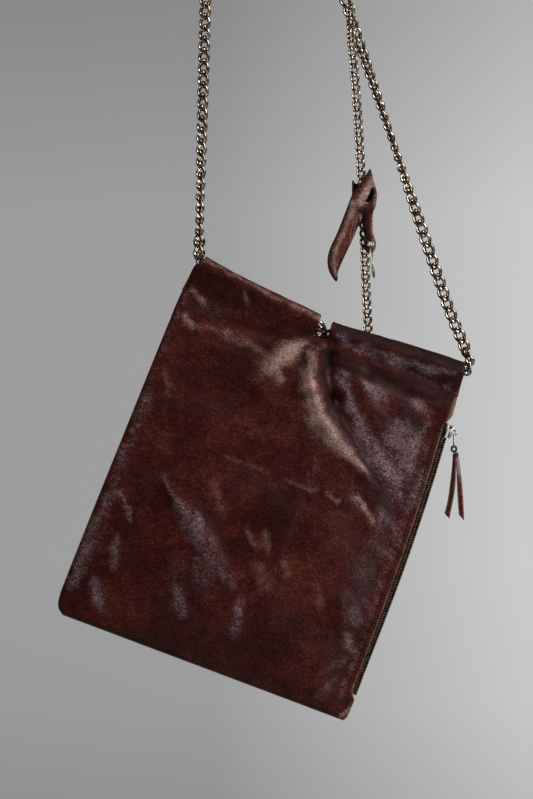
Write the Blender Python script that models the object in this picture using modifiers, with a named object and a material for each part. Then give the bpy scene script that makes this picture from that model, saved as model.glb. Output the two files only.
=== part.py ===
"""A soft leather shoulder bag, hung up by its chain strap.

Run with blender --background --python part.py, or from Blender's text editor.
Metres, +Z up, the bag's front faces -Y. The origin is where the strap lies over what holds it up.
The bag hangs turned clockwise, so it has axes of its own: across runs along its bottom edge to
the right, down runs from its top to its bottom, both from its top left corner.
"""

import math
from collections import namedtuple

import bmesh
import bpy
from mathutils import Matrix, Vector

# How the bag hangs
BAG_TILT = math.radians(20.6)
BAG_LEFT = 0.0208
BAG_DROP = 0.5164

# The bag
BAG_WIDTH = 0.272
BAG_HEIGHT = 0.337
BAG_DEPTH = 0.040
LEATHER = 0.0018
EDGE_ROUND = 0.005
CLEARANCE = 0.0003

# The hem tunnels along the top
HEM_HEIGHT = 0.031
HEM_AIR = 0.0009
HEM_TURN_IN = 0.004
CHAIN_ROOM = 0.0013
MOUTH_GAP = 0.012
NOTCH_PLACE = 0.494
NOTCH_WIDTH = 0.011
MOUTH_ROUNDNESS = 0.8
SEAM_ROUNDNESS = 0.6
RIDGE_START = 200
RIDGE_TURN = 220
WAIST = 0.55

# The leather between the hem and the edges: the stretches over which it changes
SWELL_ROUNDNESS = 0.75
SIDE_START = 0.86
SIDE_CHANGE = 0.12
HEM_FADE = 0.010
HEM_FADE_MIDDLE = 0.120
CALM_EDGE = 0.015
CALM_SEAM = 0.012

# The zip on the right side
ZIP_START = 0.0605
ZIP_END = 0.0235
ZIP_HALF_DEPTH = 0.005
ZIP_FRAME = 0.006
ZIP_LAP = 0.006
ZIP_CLOSING = 0.006
TAPE_THICKNESS = 0.001
TEETH_WIDTH = 0.0055
TEETH_THICKNESS = 0.0026

# The slider, its puller and its tassel
SLIDER_LENGTH = 0.0120
SLIDER_WIDTH = 0.0085
SLIDER_THICKNESS = 0.0054
SLIDER_ROUND = 0.0010
LUG_RADIUS = 0.0022
LUG_WIRE = 0.0013
LUG_SET_IN = 0.0002
PULLER_LENGTH = 0.013
PULLER_WIDTH = 0.0060
PULLER_WIRE = 0.0011
LACE_WIDTH = 0.0046
LACE_THICKNESS = 0.0020
LACE_LENGTH = 0.0545
LACE_LOOP = 0.0042
LACE_LEFT = -0.0066
LACE_RIGHT = 0.0040
LACE_SLANT = 0.0025
LACE_TOP = 0.0018
LACE_APART = 0.0012
KNOT_SIZE = 0.0072
KNOT_ASIDE = 0.0014

# The chains, by the size over their links
STRAP_CHAIN = 0.0088
LEASH_CHAIN = 0.0068
HOOK_RADIUS = 0.005
STRAP_TURN_OUT = 0.0137
STRAND_SLACK_ASIDE = -0.0246
STRAND_SLACK_RISE = 0.0594
STRAND_SLACK_ROUND = 0.15
HEM_CHAIN_BEND = 0.0050
HEM_CHAIN_RISE = 0.024
HEM_CHAIN_INSET = 0.020

# The fob on the leash
FOB_LENGTH = 0.099
FOB_WIDTH = 0.044
FOB_THICKNESS = 0.0020
FOB_LOOP_WIDTH = 0.0205
FOB_LOOP_HEIGHT = 0.014
FOB_LOOP_SHIFT = 0.0010
LEASH_ROOM = 0.0010
EYELET_RADIUS = 0.0022
KEY_RING_SIZE = 0.030
KEY_RING_WIRE = 0.0016
KEY_RING_LEAN = math.radians(6)
KEY_RING_TURN = math.radians(6)

BAG_CORNER = Vector((-BAG_LEFT, 0.0, -BAG_DROP))
ACROSS = Vector((math.cos(BAG_TILT), 0.0, -math.sin(BAG_TILT)))
DOWN = Vector((-math.sin(BAG_TILT), 0.0, -math.cos(BAG_TILT)))

# The bag's outline, row by row down its height: how far down as a share of BAG_HEIGHT, the left
# and right edges as shares of BAG_WIDTH, and how far the front and the back panel stop short of
# the right edge, as shares of ZIP_FRAME
Outline = namedtuple("Outline", "down left right front_short back_short")
OUTLINE = [
    Outline(0.000, 0.016, 0.911, 0.00, 0.00),
    Outline(0.012, 0.008, 0.913, 0.00, 0.00),
    Outline(0.028, -0.007, 0.920, 0.00, 0.00),
    Outline(0.066, -0.012, 0.929, 0.10, 0.00),
    Outline(0.117, -0.020, 0.937, 0.53, 0.00),
    Outline(0.155, -0.023, 0.941, 0.62, 0.00),
    Outline(0.180, -0.023, 0.944, 0.88, 0.60),
    Outline(0.200, -0.024, 0.946, 0.97, 1.00),
    Outline(0.323, -0.028, 0.957, 0.97, 1.00),
    Outline(0.458, -0.032, 0.965, 0.96, 1.00),
    Outline(0.592, -0.036, 0.969, 0.93, 1.00),
    Outline(0.728, -0.040, 0.969, 0.88, 0.95),
    Outline(0.862, -0.043, 0.967, 0.80, 0.90),
    Outline(0.920, -0.044, 0.967, 0.76, 0.76),
    Outline(0.936, -0.044, 0.966, 0.10, 0.10),
    Outline(0.946, -0.044, 0.966, 0.00, 0.00),
    Outline(0.972, -0.040, 0.965, 0.00, 0.00),
    Outline(0.988, -0.031, 0.963, 0.00, 0.00),
    Outline(1.000, -0.012, 0.956, 0.00, 0.00),
]

# The hem along the top: the ridge sags towards the notch, the seam stays nearly level. Both are
# distances down as shares of HEM_HEIGHT
Hem = namedtuple("Hem", "across ridge seam")
HEM = [
    Hem(0.00, -0.06, 0.94),
    Hem(0.08, 0.045, 1.02),
    Hem(0.22, 0.165, 1.05),
    Hem(0.40, 0.29, 1.00),
    Hem(0.47, 0.35, 0.96),
    Hem(0.53, 0.41, 0.93),
    Hem(0.68, 0.32, 0.88),
    Hem(0.85, 0.22, 0.92),
    Hem(1.00, 0.17, 1.02),
]

# How full the bag is on the way down from its seam, as shares of half of BAG_DEPTH
Swell = namedtuple("Swell", "down full")
SWELL = [
    Swell(0.00, 0.35),
    Swell(0.12, 0.44),
    Swell(0.35, 0.78),
    Swell(0.62, 1.00),
    Swell(0.82, 0.80),
    Swell(0.94, 0.36),
    Swell(1.00, 0.12),
]

# The folds of the front: each runs from one point to another, in shares of BAG_WIDTH across and
# BAG_HEIGHT down, with its half width as a share of BAG_WIDTH and its height as a share of
# BAG_DEPTH, a valley's below zero
Fold = namedtuple("Fold", "across down to_across to_down half_width height")
FOLDS = [
    Fold(0.452, 0.115, 0.480, 0.215, 0.024, 0.14),
    Fold(0.480, 0.215, 0.560, 0.292, 0.028, 0.15),
    Fold(0.560, 0.292, 0.740, 0.368, 0.032, 0.11),
    Fold(0.500, 0.128, 0.560, 0.222, 0.024, -0.12),
    Fold(0.560, 0.222, 0.760, 0.362, 0.024, -0.09),
    Fold(0.610, 0.165, 0.800, 0.290, 0.032, 0.07),
    Fold(0.640, 0.130, 0.860, 0.150, 0.024, -0.06),
    Fold(0.430, 0.118, 0.330, 0.260, 0.036, 0.09),
    Fold(0.400, 0.120, 0.120, 0.140, 0.024, -0.05),
    Fold(0.155, 0.585, 0.335, 0.683, 0.026, 0.06),
    Fold(0.335, 0.683, 0.462, 0.756, 0.026, 0.05),
    Fold(0.564, 0.477, 0.711, 0.461, 0.034, 0.05),
    Fold(0.810, 0.709, 0.880, 0.820, 0.022, 0.05),
]
BACK_FOLDS = [
    Fold(0.490, 0.110, 0.560, 0.300, 0.030, 0.12),
    Fold(0.440, 0.115, 0.300, 0.280, 0.034, 0.08),
]

# The leash's route: how far down it is from the strap, its place to the right of its top, and
# its depth, all as shares of LEASH_DROP, the straight way down to the bag's mouth
LEASH_DROP = 0.305
LEASH_PLACE = 0.5336
LEASH_ASIDE = 0.0024
FOB_LEASH_POINT = 22
Route = namedtuple("Route", "down right back")
LEASH = [
    Route(-0.010, -0.003, 0.000),
    Route(0.090, 0.000, 0.004),
    Route(0.230, 0.013, 0.010),
    Route(0.436, 0.026, 0.020),
    Route(0.700, 0.039, 0.032),
    Route(0.841, 0.045, 0.038),
    Route(0.941, 0.051, 0.042),
    Route(1.000, 0.054, 0.043),
]

# The fob's outline from its tip, as shares of FOB_LENGTH up and of FOB_WIDTH to the right
Corner = namedtuple("Corner", "right up")
FOB = [
    Corner(0.166, 0.000),
    Corner(0.040, 0.083),
    Corner(0.000, 0.182),
    Corner(0.048, 0.288),
    Corner(0.198, 0.433),
    Corner(0.363, 0.621),
    Corner(0.490, 0.766),
    Corner(0.600, 0.840),
    Corner(0.727, 0.915),
    Corner(0.826, 0.985),
    Corner(0.866, 0.985),
    Corner(0.926, 0.881),
    Corner(0.986, 0.771),
    Corner(0.956, 0.661),
    Corner(0.906, 0.597),
    Corner(0.908, 0.433),
    Corner(0.962, 0.360),
    Corner(0.952, 0.286),
    Corner(0.855, 0.245),
    Corner(0.755, 0.277),
    Corner(0.726, 0.350),
    Corner(0.758, 0.424),
    Corner(0.737, 0.588),
    Corner(0.690, 0.561),
    Corner(0.495, 0.364),
    Corner(0.363, 0.242),
    Corner(0.214, 0.090),
    Corner(0.208, 0.030),
]
FOB_ON_LEASH = Corner(0.700, 0.724)
FOB_EYELET = Corner(0.856, 0.330)
FOB_SLOT = [Corner(0.756, 0.690), Corner(0.900, 0.850)]
FOB_SLOT_WIDTH = 0.0032

# How finely the surfaces are divided
FRONT_COLUMNS = 12
BACK_COLUMNS = 8
FRONT_ROWS = 21
BACK_ROWS = 15
RIDGE_STEPS = 6
EDGE_STEPS = 14
ROW_SPREAD = 1.15
ROUNDING_PLACES = (0.24, 1.0, 2.0)
ARC_STEP = math.radians(24)
LEAST_TURN = math.radians(2)
LACE_STEPS = 5
LEASH_READINGS = 40

HEM_RADIUS = STRAP_CHAIN / 2 + LEATHER + CHAIN_ROOM
HEM_FOLDED = 2 * LEATHER + HEM_AIR
ZIP_LENGTH = BAG_HEIGHT - ZIP_START - ZIP_END


def clear_scene():
    for item in list(bpy.data.objects):
        bpy.data.objects.remove(item)


def new_collection(name):
    collection = bpy.data.collections.new(name)
    bpy.context.scene.collection.children.link(collection)
    return collection


def new_material(name, colour, roughness, metallic=0.0):
    material = bpy.data.materials.new(name)
    material.use_nodes = True
    shader = material.node_tree.nodes["Principled BSDF"]
    shader.inputs["Base Color"].default_value = (*colour, 1.0)
    shader.inputs["Roughness"].default_value = roughness
    shader.inputs["Metallic"].default_value = metallic
    return material


def smoothstep(share):
    share = min(1.0, max(0.0, share))
    return share * share * (3 - 2 * share)


def read_table(table, key, value, place):
    """A smooth curve through a table's rows, read at a place along its key column."""
    keys = [getattr(row, key) for row in table]
    values = [getattr(row, value) for row in table]
    place = min(keys[-1], max(keys[0], place))
    last = len(keys) - 1
    i = next(n for n in range(last) if place <= keys[n + 1])
    span = keys[i + 1] - keys[i]
    t = (place - keys[i]) / span
    before, after = max(0, i - 1), min(last, i + 2)
    slope_in = (values[i + 1] - values[before]) / (keys[i + 1] - keys[before])
    slope_out = (values[after] - values[i]) / (keys[after] - keys[i])
    return (
        values[i] * (2 * t**3 - 3 * t**2 + 1)
        + values[i + 1] * (3 * t**2 - 2 * t**3)
        + span * slope_in * (t**3 - 2 * t**2 + t)
        + span * slope_out * (t**3 - t**2)
    )


def bag_point(across, down, depth):
    """A point of the bag, with its distances across, down and in front of its mid plane."""
    return BAG_CORNER + ACROSS * across + DOWN * down + Vector((0.0, -depth, 0.0))


def edge(side, down):
    return BAG_WIDTH * read_table(OUTLINE, "down", side, down / BAG_HEIGHT)


def panel_edges(down, short):
    """The left and right edges of one panel at a distance down."""
    stop = ZIP_FRAME * read_table(OUTLINE, "down", short, down / BAG_HEIGHT)
    return edge("left", down), edge("right", down) - max(0.0, stop)


def ridge_down(share):
    return HEM_HEIGHT * read_table(HEM, "across", "ridge", share)


def seam_down(share):
    return HEM_HEIGHT * read_table(HEM, "across", "seam", share)


def mouth_half(share):
    """Half of the bag's mouth, which opens between the hems towards the middle."""
    return CLEARANCE / 2 + MOUTH_GAP / 2 * math.sin(math.pi * share) ** MOUTH_ROUNDNESS


def ridge_depth(share):
    """How far the middle of a hem's ridge lies from the bag's mid plane."""
    return HEM_RADIUS + mouth_half(share)


def seam_depth(share):
    """How far the outside of the hem's seam lies from the bag's mid plane."""
    ends = HEM_FOLDED + CLEARANCE
    middle = ridge_depth(share) + HEM_FOLDED / 2
    return ends + (middle - ends) * math.sin(math.pi * share) ** SEAM_ROUNDNESS


def rounding(distance):
    """From 0 at a turned edge to 1 where its rounding ends."""
    inside = 1 - min(1.0, max(0.0, distance / EDGE_ROUND))
    return math.sqrt(1 - inside * inside)


def fold_height(folds, across, down):
    total = 0.0
    for fold in folds:
        start = Vector((fold.across * BAG_WIDTH, fold.down * BAG_HEIGHT))
        run = Vector((fold.to_across * BAG_WIDTH, fold.to_down * BAG_HEIGHT)) - start
        offset = Vector((across, down)) - start
        along = min(1.0, max(0.0, offset.dot(run) / run.length_squared))
        away = (offset - run * along).length / (fold.half_width * BAG_WIDTH)
        total += fold.height * BAG_DEPTH * math.exp(-away * away)
    return total


def below_zip():
    """How far above the bottom edge the panels start to close below the zip."""
    return ZIP_END - ZIP_LAP / 4


def half_depth(share, across, down, left, folds):
    """How far a panel's outside lies from the bag's mid plane."""
    seam = seam_down(share)
    below = max(0.0, min(1.0, (down - seam) / (BAG_HEIGHT - seam)))
    from_left = across - left
    from_bottom = BAG_HEIGHT - down
    turned = CLEARANCE / 2 + EDGE_ROUND * rounding(from_left) * rounding(from_bottom)
    full = BAG_DEPTH / 2 - EDGE_ROUND
    swell = full * read_table(SWELL, "down", "full", below)
    swell *= math.sin(math.pi * (1 - ZIP_FRAME / BAG_WIDTH) * share) ** SWELL_ROUNDNESS
    swell *= smoothstep(from_bottom / (3 * EDGE_ROUND))
    mouth = seam_depth(share) - turned - swell
    past_hem = max(0.0, down - seam - 1.3 * HEM_TURN_IN)
    fade = HEM_FADE + HEM_FADE_MIDDLE * smoothstep(3 * share)
    depth = turned + swell + mouth * (1 - smoothstep(past_hem / fade))
    to_right = smoothstep((share - SIDE_START) / SIDE_CHANGE)
    open_zip = smoothstep((from_bottom - EDGE_ROUND) / (below_zip() - EDGE_ROUND))
    side = ZIP_HALF_DEPTH * open_zip
    side = max(side, (LEATHER + CLEARANCE / 2) * rounding(from_bottom) + CLEARANCE / 2)
    depth += (side - depth) * to_right
    calm = smoothstep(from_left / CALM_EDGE) * smoothstep(from_bottom / CALM_EDGE) * (1 - to_right)
    calm *= smoothstep((down - seam) / CALM_SEAM)
    return depth + calm * fold_height(folds, across, down)


def panel_columns(count):
    """The shares across at which a panel is divided, with the notch's two sides among them."""
    width = edge("right", 0.0) - edge("left", 0.0)
    half_notch = NOTCH_WIDTH / width / 2
    left, right = NOTCH_PLACE - half_notch, NOTCH_PLACE + half_notch
    *rounded, first = [place * EDGE_ROUND / BAG_WIDTH for place in ROUNDING_PLACES]
    last = 1 - ZIP_LAP / BAG_WIDTH
    shares = [0.0] + rounded
    shares += [first + (left - first) * n / count for n in range(count + 1)]
    shares += [right + (last - right) * n / count for n in range(count + 1)]
    return shares + [1.0], len(rounded) + 1 + count


def panel_rows(count):
    """The shares from the seam to the bottom at which a panel is divided."""
    height = BAG_HEIGHT - HEM_HEIGHT
    hem_end = HEM_TURN_IN / height
    first, last = 1.6 * hem_end, 1 - below_zip() / height
    closed = last + ZIP_CLOSING / height
    shares = [0.0, 0.7 * hem_end]
    shares += [first + (last - first) * (n / count) ** ROW_SPREAD for n in range(count + 1)]
    shares.insert(-1, last - (closed - last) / 2)
    rounded = [1 - place * EDGE_ROUND / height for place in reversed(ROUNDING_PLACES)]
    return shares + [closed] + rounded + [1.0]


def panel_point(share, down, depth, short, facing):
    left, right = panel_edges(down, short)
    return bag_point(left + share * (right - left), down, facing * depth)


def panel_column(share, rows, short, folds, facing):
    """The points of one column, from the hem's inner end over its ridge to the bottom edge."""
    points = []

    def outside(down):
        left, right = panel_edges(down, short)
        return half_depth(share, left + share * (right - left), down, left, folds)

    ridge, seam = ridge_down(share), seam_down(share)
    hem_end = seam + HEM_TURN_IN
    middle = ridge_depth(share)
    centre = ridge + HEM_RADIUS
    points.append((hem_end, outside(hem_end) - HEM_FOLDED))
    points.append((seam, outside(seam) - HEM_FOLDED))
    waist = seam + WAIST * (centre + HEM_RADIUS / 3 - seam)
    inner_seam = seam_depth(share) - HEM_FOLDED
    inner_waist = inner_seam + WAIST * (middle - HEM_RADIUS - inner_seam)
    outer_waist = seam_depth(share) + WAIST * (middle + HEM_RADIUS - seam_depth(share))
    points.append((waist, inner_waist))
    for step in range(RIDGE_STEPS + 1):
        angle = math.radians(RIDGE_START - RIDGE_TURN * step / RIDGE_STEPS)
        points.append((
            centre - HEM_RADIUS * math.sin(angle),
            middle + HEM_RADIUS * math.cos(angle),
        ))
    points.append((waist, outer_waist))
    for row in rows:
        down = seam + row * (BAG_HEIGHT - seam)
        points.append((down, outside(down)))
    return [panel_point(share, down, depth, short, facing) for down, depth in points]


def make_panel(name, count, row_count, short, folds, facing, material, collection):
    """One leather of the bag: a sheet that is turned over at the top, given its thickness."""
    shares, notch = panel_columns(count)
    rows = panel_rows(row_count)
    shape = bmesh.new()
    columns = [
        [shape.verts.new(point) for point in panel_column(s, rows, short, folds, facing)]
        for s in shares
    ]
    hem_faces = RIDGE_STEPS + 4
    for i in range(len(columns) - 1):
        for j in range(len(columns[0]) - 1):
            if i == notch and j < hem_faces:
                continue
            face = [columns[i][j], columns[i][j + 1], columns[i + 1][j + 1], columns[i + 1][j]]
            shape.faces.new(face if facing > 0 else face[::-1])
    loose = [vert for vert in shape.verts if not vert.link_faces]
    bmesh.ops.delete(shape, geom=loose, context="VERTS")
    mesh = bpy.data.meshes.new(name)
    shape.to_mesh(mesh)
    shape.free()
    panel = bpy.data.objects.new(name, mesh)
    collection.objects.link(panel)
    solid = panel.modifiers.new("leather", "SOLIDIFY")
    solid.thickness = LEATHER
    solid.offset = -1.0
    apply_modifiers(panel)
    for vert in panel.data.vertices:
        if facing * vert.co.y > -CLEARANCE / 2:
            vert.co.y = -facing * CLEARANCE / 2
    finish(panel, material)
    return panel


def apply_modifiers(item):
    """Turns an object's evaluated shape into its own mesh."""
    bpy.context.view_layer.update()
    evaluated = item.evaluated_get(bpy.context.evaluated_depsgraph_get())
    mesh = bpy.data.meshes.new_from_object(evaluated)
    item.modifiers.clear()
    item.data = mesh


def finish(item, material):
    item.data.materials.clear()
    item.data.materials.append(material)
    item.data.shade_smooth()


def fillet(corners, radii):
    """A route through corner points, with an arc of its own radius at each corner between."""
    route = [corners[0]]
    for before, corner, after, radius in zip(corners, corners[1:], corners[2:], radii):
        come, go = (corner - before).normalized(), (after - corner).normalized()
        turn = come.angle(go)
        steps = max(1, math.ceil(turn / ARC_STEP))
        if turn < LEAST_TURN:
            route.append(corner)
            continue
        cut = radius * math.tan(turn / 2)
        inward = (go - come).normalized()
        centre = corner + inward * (radius / math.cos(turn / 2))
        start = corner - come * cut - centre
        axis = come.cross(go).normalized()
        for step in range(steps + 1):
            route.append(centre + Matrix.Rotation(turn * step / steps, 3, axis) @ start)
    return route + [corners[-1]]


def space_out(route, gap):
    """The same route with more points along its long straight runs."""
    points = [route[0]]
    for before, after in zip(route, route[1:]):
        count = max(1, round((after - before).length / gap))
        points += [before.lerp(after, n / count) for n in range(1, count + 1)]
    return points


def make_tube(name, points, diameter, material, collection):
    curve = bpy.data.curves.new(name, "CURVE")
    curve.dimensions = "3D"
    curve.bevel_depth = diameter / 2
    curve.bevel_resolution = 2
    curve.use_fill_caps = True
    spline = curve.splines.new("POLY")
    spline.points.add(len(points) - 1)
    for target, point in zip(spline.points, points):
        target.co = (*point, 1.0)
    tube = bpy.data.objects.new(name, curve)
    curve.materials.append(material)
    collection.objects.link(tube)
    return tube


def hem_chain_point(place, facing):
    """The middle of a hem's tunnel at a distance across from the top left corner."""
    left, right = edge("left", HEM_RADIUS), edge("right", HEM_RADIUS)
    share = min(1.0, max(0.0, (place - left) / (right - left)))
    depth = ridge_depth(share)
    return bag_point(place, ridge_down(share) + HEM_RADIUS, facing * depth)


def hem_places(start, stop):
    count = max(2, round(abs(stop - start) / (2.2 * STRAP_CHAIN)))
    return [start + (stop - start) * n / count for n in range(count + 1)]


def notch_end(side):
    """The strap's last stretch, level with the middle of the notch where its two halves meet."""
    middle = hem_chain_point(notch_middle(), 1)
    return [middle + side * ACROSS * out for out in (STRAP_CHAIN / 2, CLEARANCE / 2)]


def notch_middle():
    left, right = edge("left", HEM_RADIUS), edge("right", HEM_RADIUS)
    return left + NOTCH_PLACE * (right - left)


def strap_turns():
    """The corner points of the strap's centre line at the two ends of the front hem."""
    left = hem_chain_point(0.0, 1)
    far = edge("right", ridge_down(1.0))
    level = ridge_down(1.0) + HEM_RADIUS
    right = bag_point(far + STRAP_TURN_OUT, level, ridge_depth(1.0))
    return left, right


def strand_corners(turn, side):
    """A strand's corner points above its turn: the right one hangs a little slack."""
    touch, _ = touch_point(turn, side)
    if side < 0:
        return [touch]
    return [touch, turn + slack()]


def slack():
    return Vector((STRAND_SLACK_ASIDE, 0.0, STRAND_SLACK_RISE))


def hook_centre():
    return Vector((0.0, 0.0, -HOOK_RADIUS))


def touch_point(turn, side):
    """Where a strand leaves its bend over the hook, on the way to its turn at a hem."""
    centre = hook_centre()
    radius = HOOK_RADIUS + STRAP_CHAIN / 2
    away = turn - centre if side < 0 else turn + slack() - centre
    reach = math.sqrt(away.x**2 + away.z**2)
    angle = math.atan2(away.z, away.x) + side * math.acos(radius / reach)
    return centre + Vector((radius * math.cos(angle), 0.0, radius * math.sin(angle))), angle


def strand_route(turn, side):
    """From the top of the loop over the hook, and where the strand leaves it."""
    touch, angle = touch_point(turn, side)
    radius = HOOK_RADIUS + STRAP_CHAIN / 2
    level = STRAP_CHAIN / 10
    if side < 0 and angle < 0:
        angle += 2 * math.pi
    top = hook_centre() + Vector((0.0, 0.0, radius))
    arc = [top + Vector((side * out, 0.0, 0.0)) for out in (CLEARANCE / 2, level)]
    start = math.pi / 2 - side * level / radius
    steps = 4
    for step in range(1, steps):
        here = start + (angle - start) * step / steps
        arc.append(hook_centre() + Vector((radius * math.cos(here), 0.0, radius * math.sin(here))))
    return arc, touch


def make_strap(metal, collection):
    """The thick chain: down from the hook to each end of the front hem, then in to the notch."""
    left_turn, right_turn = strap_turns()
    spacing = 2.5 * STRAP_CHAIN
    for name, turn, side, first in (
        ("strap_chain_left", left_turn, -1, HEM_CHAIN_INSET),
        ("strap_chain_right", right_turn, 1, edge("right", 0.0) - HEM_CHAIN_INSET),
    ):
        arc, touch = strand_route(turn, side)
        last = notch_middle() + side * 2 * STRAP_CHAIN
        inside = [hem_chain_point(place, 1) for place in hem_places(first, last)]
        corners = strand_corners(turn, side)
        rounds = [STRAND_SLACK_ROUND] * (len(corners) - 1) + [HEM_CHAIN_BEND]
        turned = fillet([*corners, turn, inside[0]], rounds)
        route = arc + space_out(turned[:-1], spacing) + inside + notch_end(side)
        make_tube(name, route, STRAP_CHAIN, metal, collection)


def make_back_hem_chain(metal, collection):
    """The same chain through the back hem, its ends brought up and forward to the strap."""
    corners = []
    for turn, side in zip(strap_turns(), (-1, 1)):
        above = strand_corners(turn, side)[-1]
        top = turn + (above - turn).normalized() * HEM_CHAIN_RISE
        top.y += STRAP_CHAIN + 2 * CLEARANCE
        corners.append((top, Vector((turn.x, -turn.y, turn.z))))
    (left_top, left_turn), (right_top, right_turn) = corners
    places = hem_places(HEM_CHAIN_INSET, edge("right", 0.0) - HEM_CHAIN_INSET)
    inside = [hem_chain_point(place, -1) for place in places]
    start = fillet([left_top, left_turn, inside[0]], [HEM_CHAIN_BEND])
    end = fillet([inside[-1], right_turn, right_top], [HEM_CHAIN_BEND])
    make_tube("back_hem_chain", start[:-1] + inside + end[1:], STRAP_CHAIN, metal, collection)


def leash_points():
    """The leash's route, from the strap's front down between the hems."""
    _, turn = strap_turns()
    touch, _ = touch_point(turn, 1)
    top = touch.lerp(turn + slack(), LEASH_PLACE)
    top.x += LEASH_ASIDE
    top.y -= (STRAP_CHAIN + LEASH_CHAIN) / 2 + CLEARANCE
    return [
        top + LEASH_DROP * Vector((row.right, row.back, -row.down))
        for row in LEASH
    ]


def smooth_route(points, count):
    """Evenly spaced points on a smooth curve through a route's own points."""
    rows = []
    for i in range(len(points) - 1):
        a, b = points[max(0, i - 1)], points[i]
        c, d = points[i + 1], points[min(len(points) - 1, i + 2)]
        for n in range(4):
            t = n / 4
            rows.append(0.5 * (2 * b + (c - a) * t + (2 * a - 5 * b + 4 * c - d) * t**2
                               + (3 * b - a - 3 * c + d) * t**3))
    rows.append(points[-1])
    lengths = [0.0]
    for before, after in zip(rows, rows[1:]):
        lengths.append(lengths[-1] + (after - before).length)
    route = []
    for n in range(count + 1):
        want = lengths[-1] * n / count
        i = min(len(rows) - 2, next(k for k in range(len(rows)) if lengths[k] >= want - 1e-9) - 1)
        i = max(0, i)
        route.append(rows[i].lerp(rows[i + 1], (want - lengths[i]) / (lengths[i + 1] - lengths[i])))
    return route


def make_leash(metal, collection):
    count = round(LEASH_DROP / (2.5 * LEASH_CHAIN))
    make_tube("leash_chain", smooth_route(leash_points(), count), LEASH_CHAIN, metal, collection)


def make_flat(name, outline, thickness, placing, material, collection):
    """A flat outline, given its thickness, with its own X and Y axes placed by a matrix."""
    curve = bpy.data.curves.new(name, "CURVE")
    curve.dimensions = "2D"
    curve.fill_mode = "BOTH"
    curve.extrude = thickness / 2
    spline = curve.splines.new("POLY")
    spline.points.add(len(outline) - 1)
    for target, (x, y) in zip(spline.points, outline):
        target.co = (x, y, 0.0, 1.0)
    spline.use_cyclic_u = True
    flat = bpy.data.objects.new(name, curve)
    curve.materials.append(material)
    flat.matrix_world = placing
    collection.objects.link(flat)
    return flat


def bag_placing(depth):
    """Places an outline drawn across and up in a plane in front of the bag's mid plane."""
    placing = Matrix((ACROSS, -DOWN, Vector((0.0, -1.0, 0.0)))).transposed().to_4x4()
    placing.translation = bag_point(0.0, 0.0, depth)
    return placing


def side_strip(start, stop, outer, inner):
    """The outline of a strip along the bag's right edge, from one distance down to another."""
    places = [start + (stop - start) * n / EDGE_STEPS for n in range(EDGE_STEPS + 1)]
    right = [(edge("right", down) - outer, -down) for down in places]
    left = [(edge("right", down) - inner, -down) for down in reversed(places)]
    return right + left


def make_zip(tape, brass, collection):
    """The two tapes under the panels' edges, and the closed row of teeth between them."""
    inside = ZIP_HALF_DEPTH - LEATHER - CLEARANCE - TAPE_THICKNESS / 2
    stop = ZIP_START + ZIP_LENGTH
    strip = side_strip(ZIP_START, stop, TEETH_THICKNESS + CLEARANCE, ZIP_FRAME + ZIP_LAP)
    for name, facing in (("zip_tape_front", 1), ("zip_tape_back", -1)):
        make_flat(name, strip, TAPE_THICKNESS, bag_placing(facing * inside), tape, collection)
    teeth = side_strip(ZIP_START + SLIDER_LENGTH + CLEARANCE, stop, 0.0, TEETH_THICKNESS)
    make_flat("zip_teeth", teeth, TEETH_WIDTH, bag_placing(0.0), brass, collection)


def as_mesh(item):
    """A curve object turned into a mesh object in world space, with its caps welded on."""
    bpy.context.view_layer.update()
    evaluated = item.evaluated_get(bpy.context.evaluated_depsgraph_get())
    mesh = bpy.data.meshes.new_from_object(evaluated)
    mesh.transform(item.matrix_world)
    shape = bmesh.new()
    shape.from_mesh(mesh)
    bmesh.ops.remove_doubles(shape, verts=shape.verts, dist=0.000001)
    shape.to_mesh(mesh)
    shape.free()
    name = item.name
    collection = item.users_collection[0]
    bpy.data.objects.remove(item)
    made = bpy.data.objects.new(name, mesh)
    collection.objects.link(made)
    return made


def add_mesh(name, shape, placing, collection):
    mesh = bpy.data.meshes.new(name)
    shape.to_mesh(mesh)
    shape.free()
    mesh.transform(placing)
    item = bpy.data.objects.new(name, mesh)
    collection.objects.link(item)
    return item


def ring(name, radius, wire, placing, collection, stretch=1.0, around=14, sides=6):
    """A wire ring in its own XY plane, stretched along Y."""
    bpy.ops.mesh.primitive_torus_add(
        major_radius=radius, minor_radius=wire / 2, major_segments=around, minor_segments=sides
    )
    item = bpy.context.object
    item.name = name
    straight = max(0.0, stretch - 1.0) * radius
    for vert in item.data.vertices:
        vert.co.y += math.copysign(straight, vert.co.y) if abs(vert.co.y) > 1e-7 else 0.0
    item.data.transform(placing)
    for owner in list(item.users_collection):
        owner.objects.unlink(item)
    collection.objects.link(item)
    return item


def combine(target, others, operation):
    """Joins other solids to a solid, or cuts them from it, and keeps the one object."""
    for other in others:
        cut = target.modifiers.new("combine", "BOOLEAN")
        cut.operation = operation
        cut.object = other
        apply_modifiers(target)
        bpy.data.objects.remove(other)
    return target


def slider_point():
    """The middle of the slider, on the right edge at the top of the teeth."""
    down = ZIP_START + SLIDER_LENGTH / 2
    inner = edge("right", down) - TEETH_THICKNESS + CLEARANCE
    return bag_point(inner + SLIDER_THICKNESS / 2, down, 0.0)


def lug_point():
    """The middle of the lug's hole, out from the slider's front corner."""
    return slider_point() + ACROSS * (SLIDER_THICKNESS / 2 + LUG_RADIUS - LUG_SET_IN)


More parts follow.
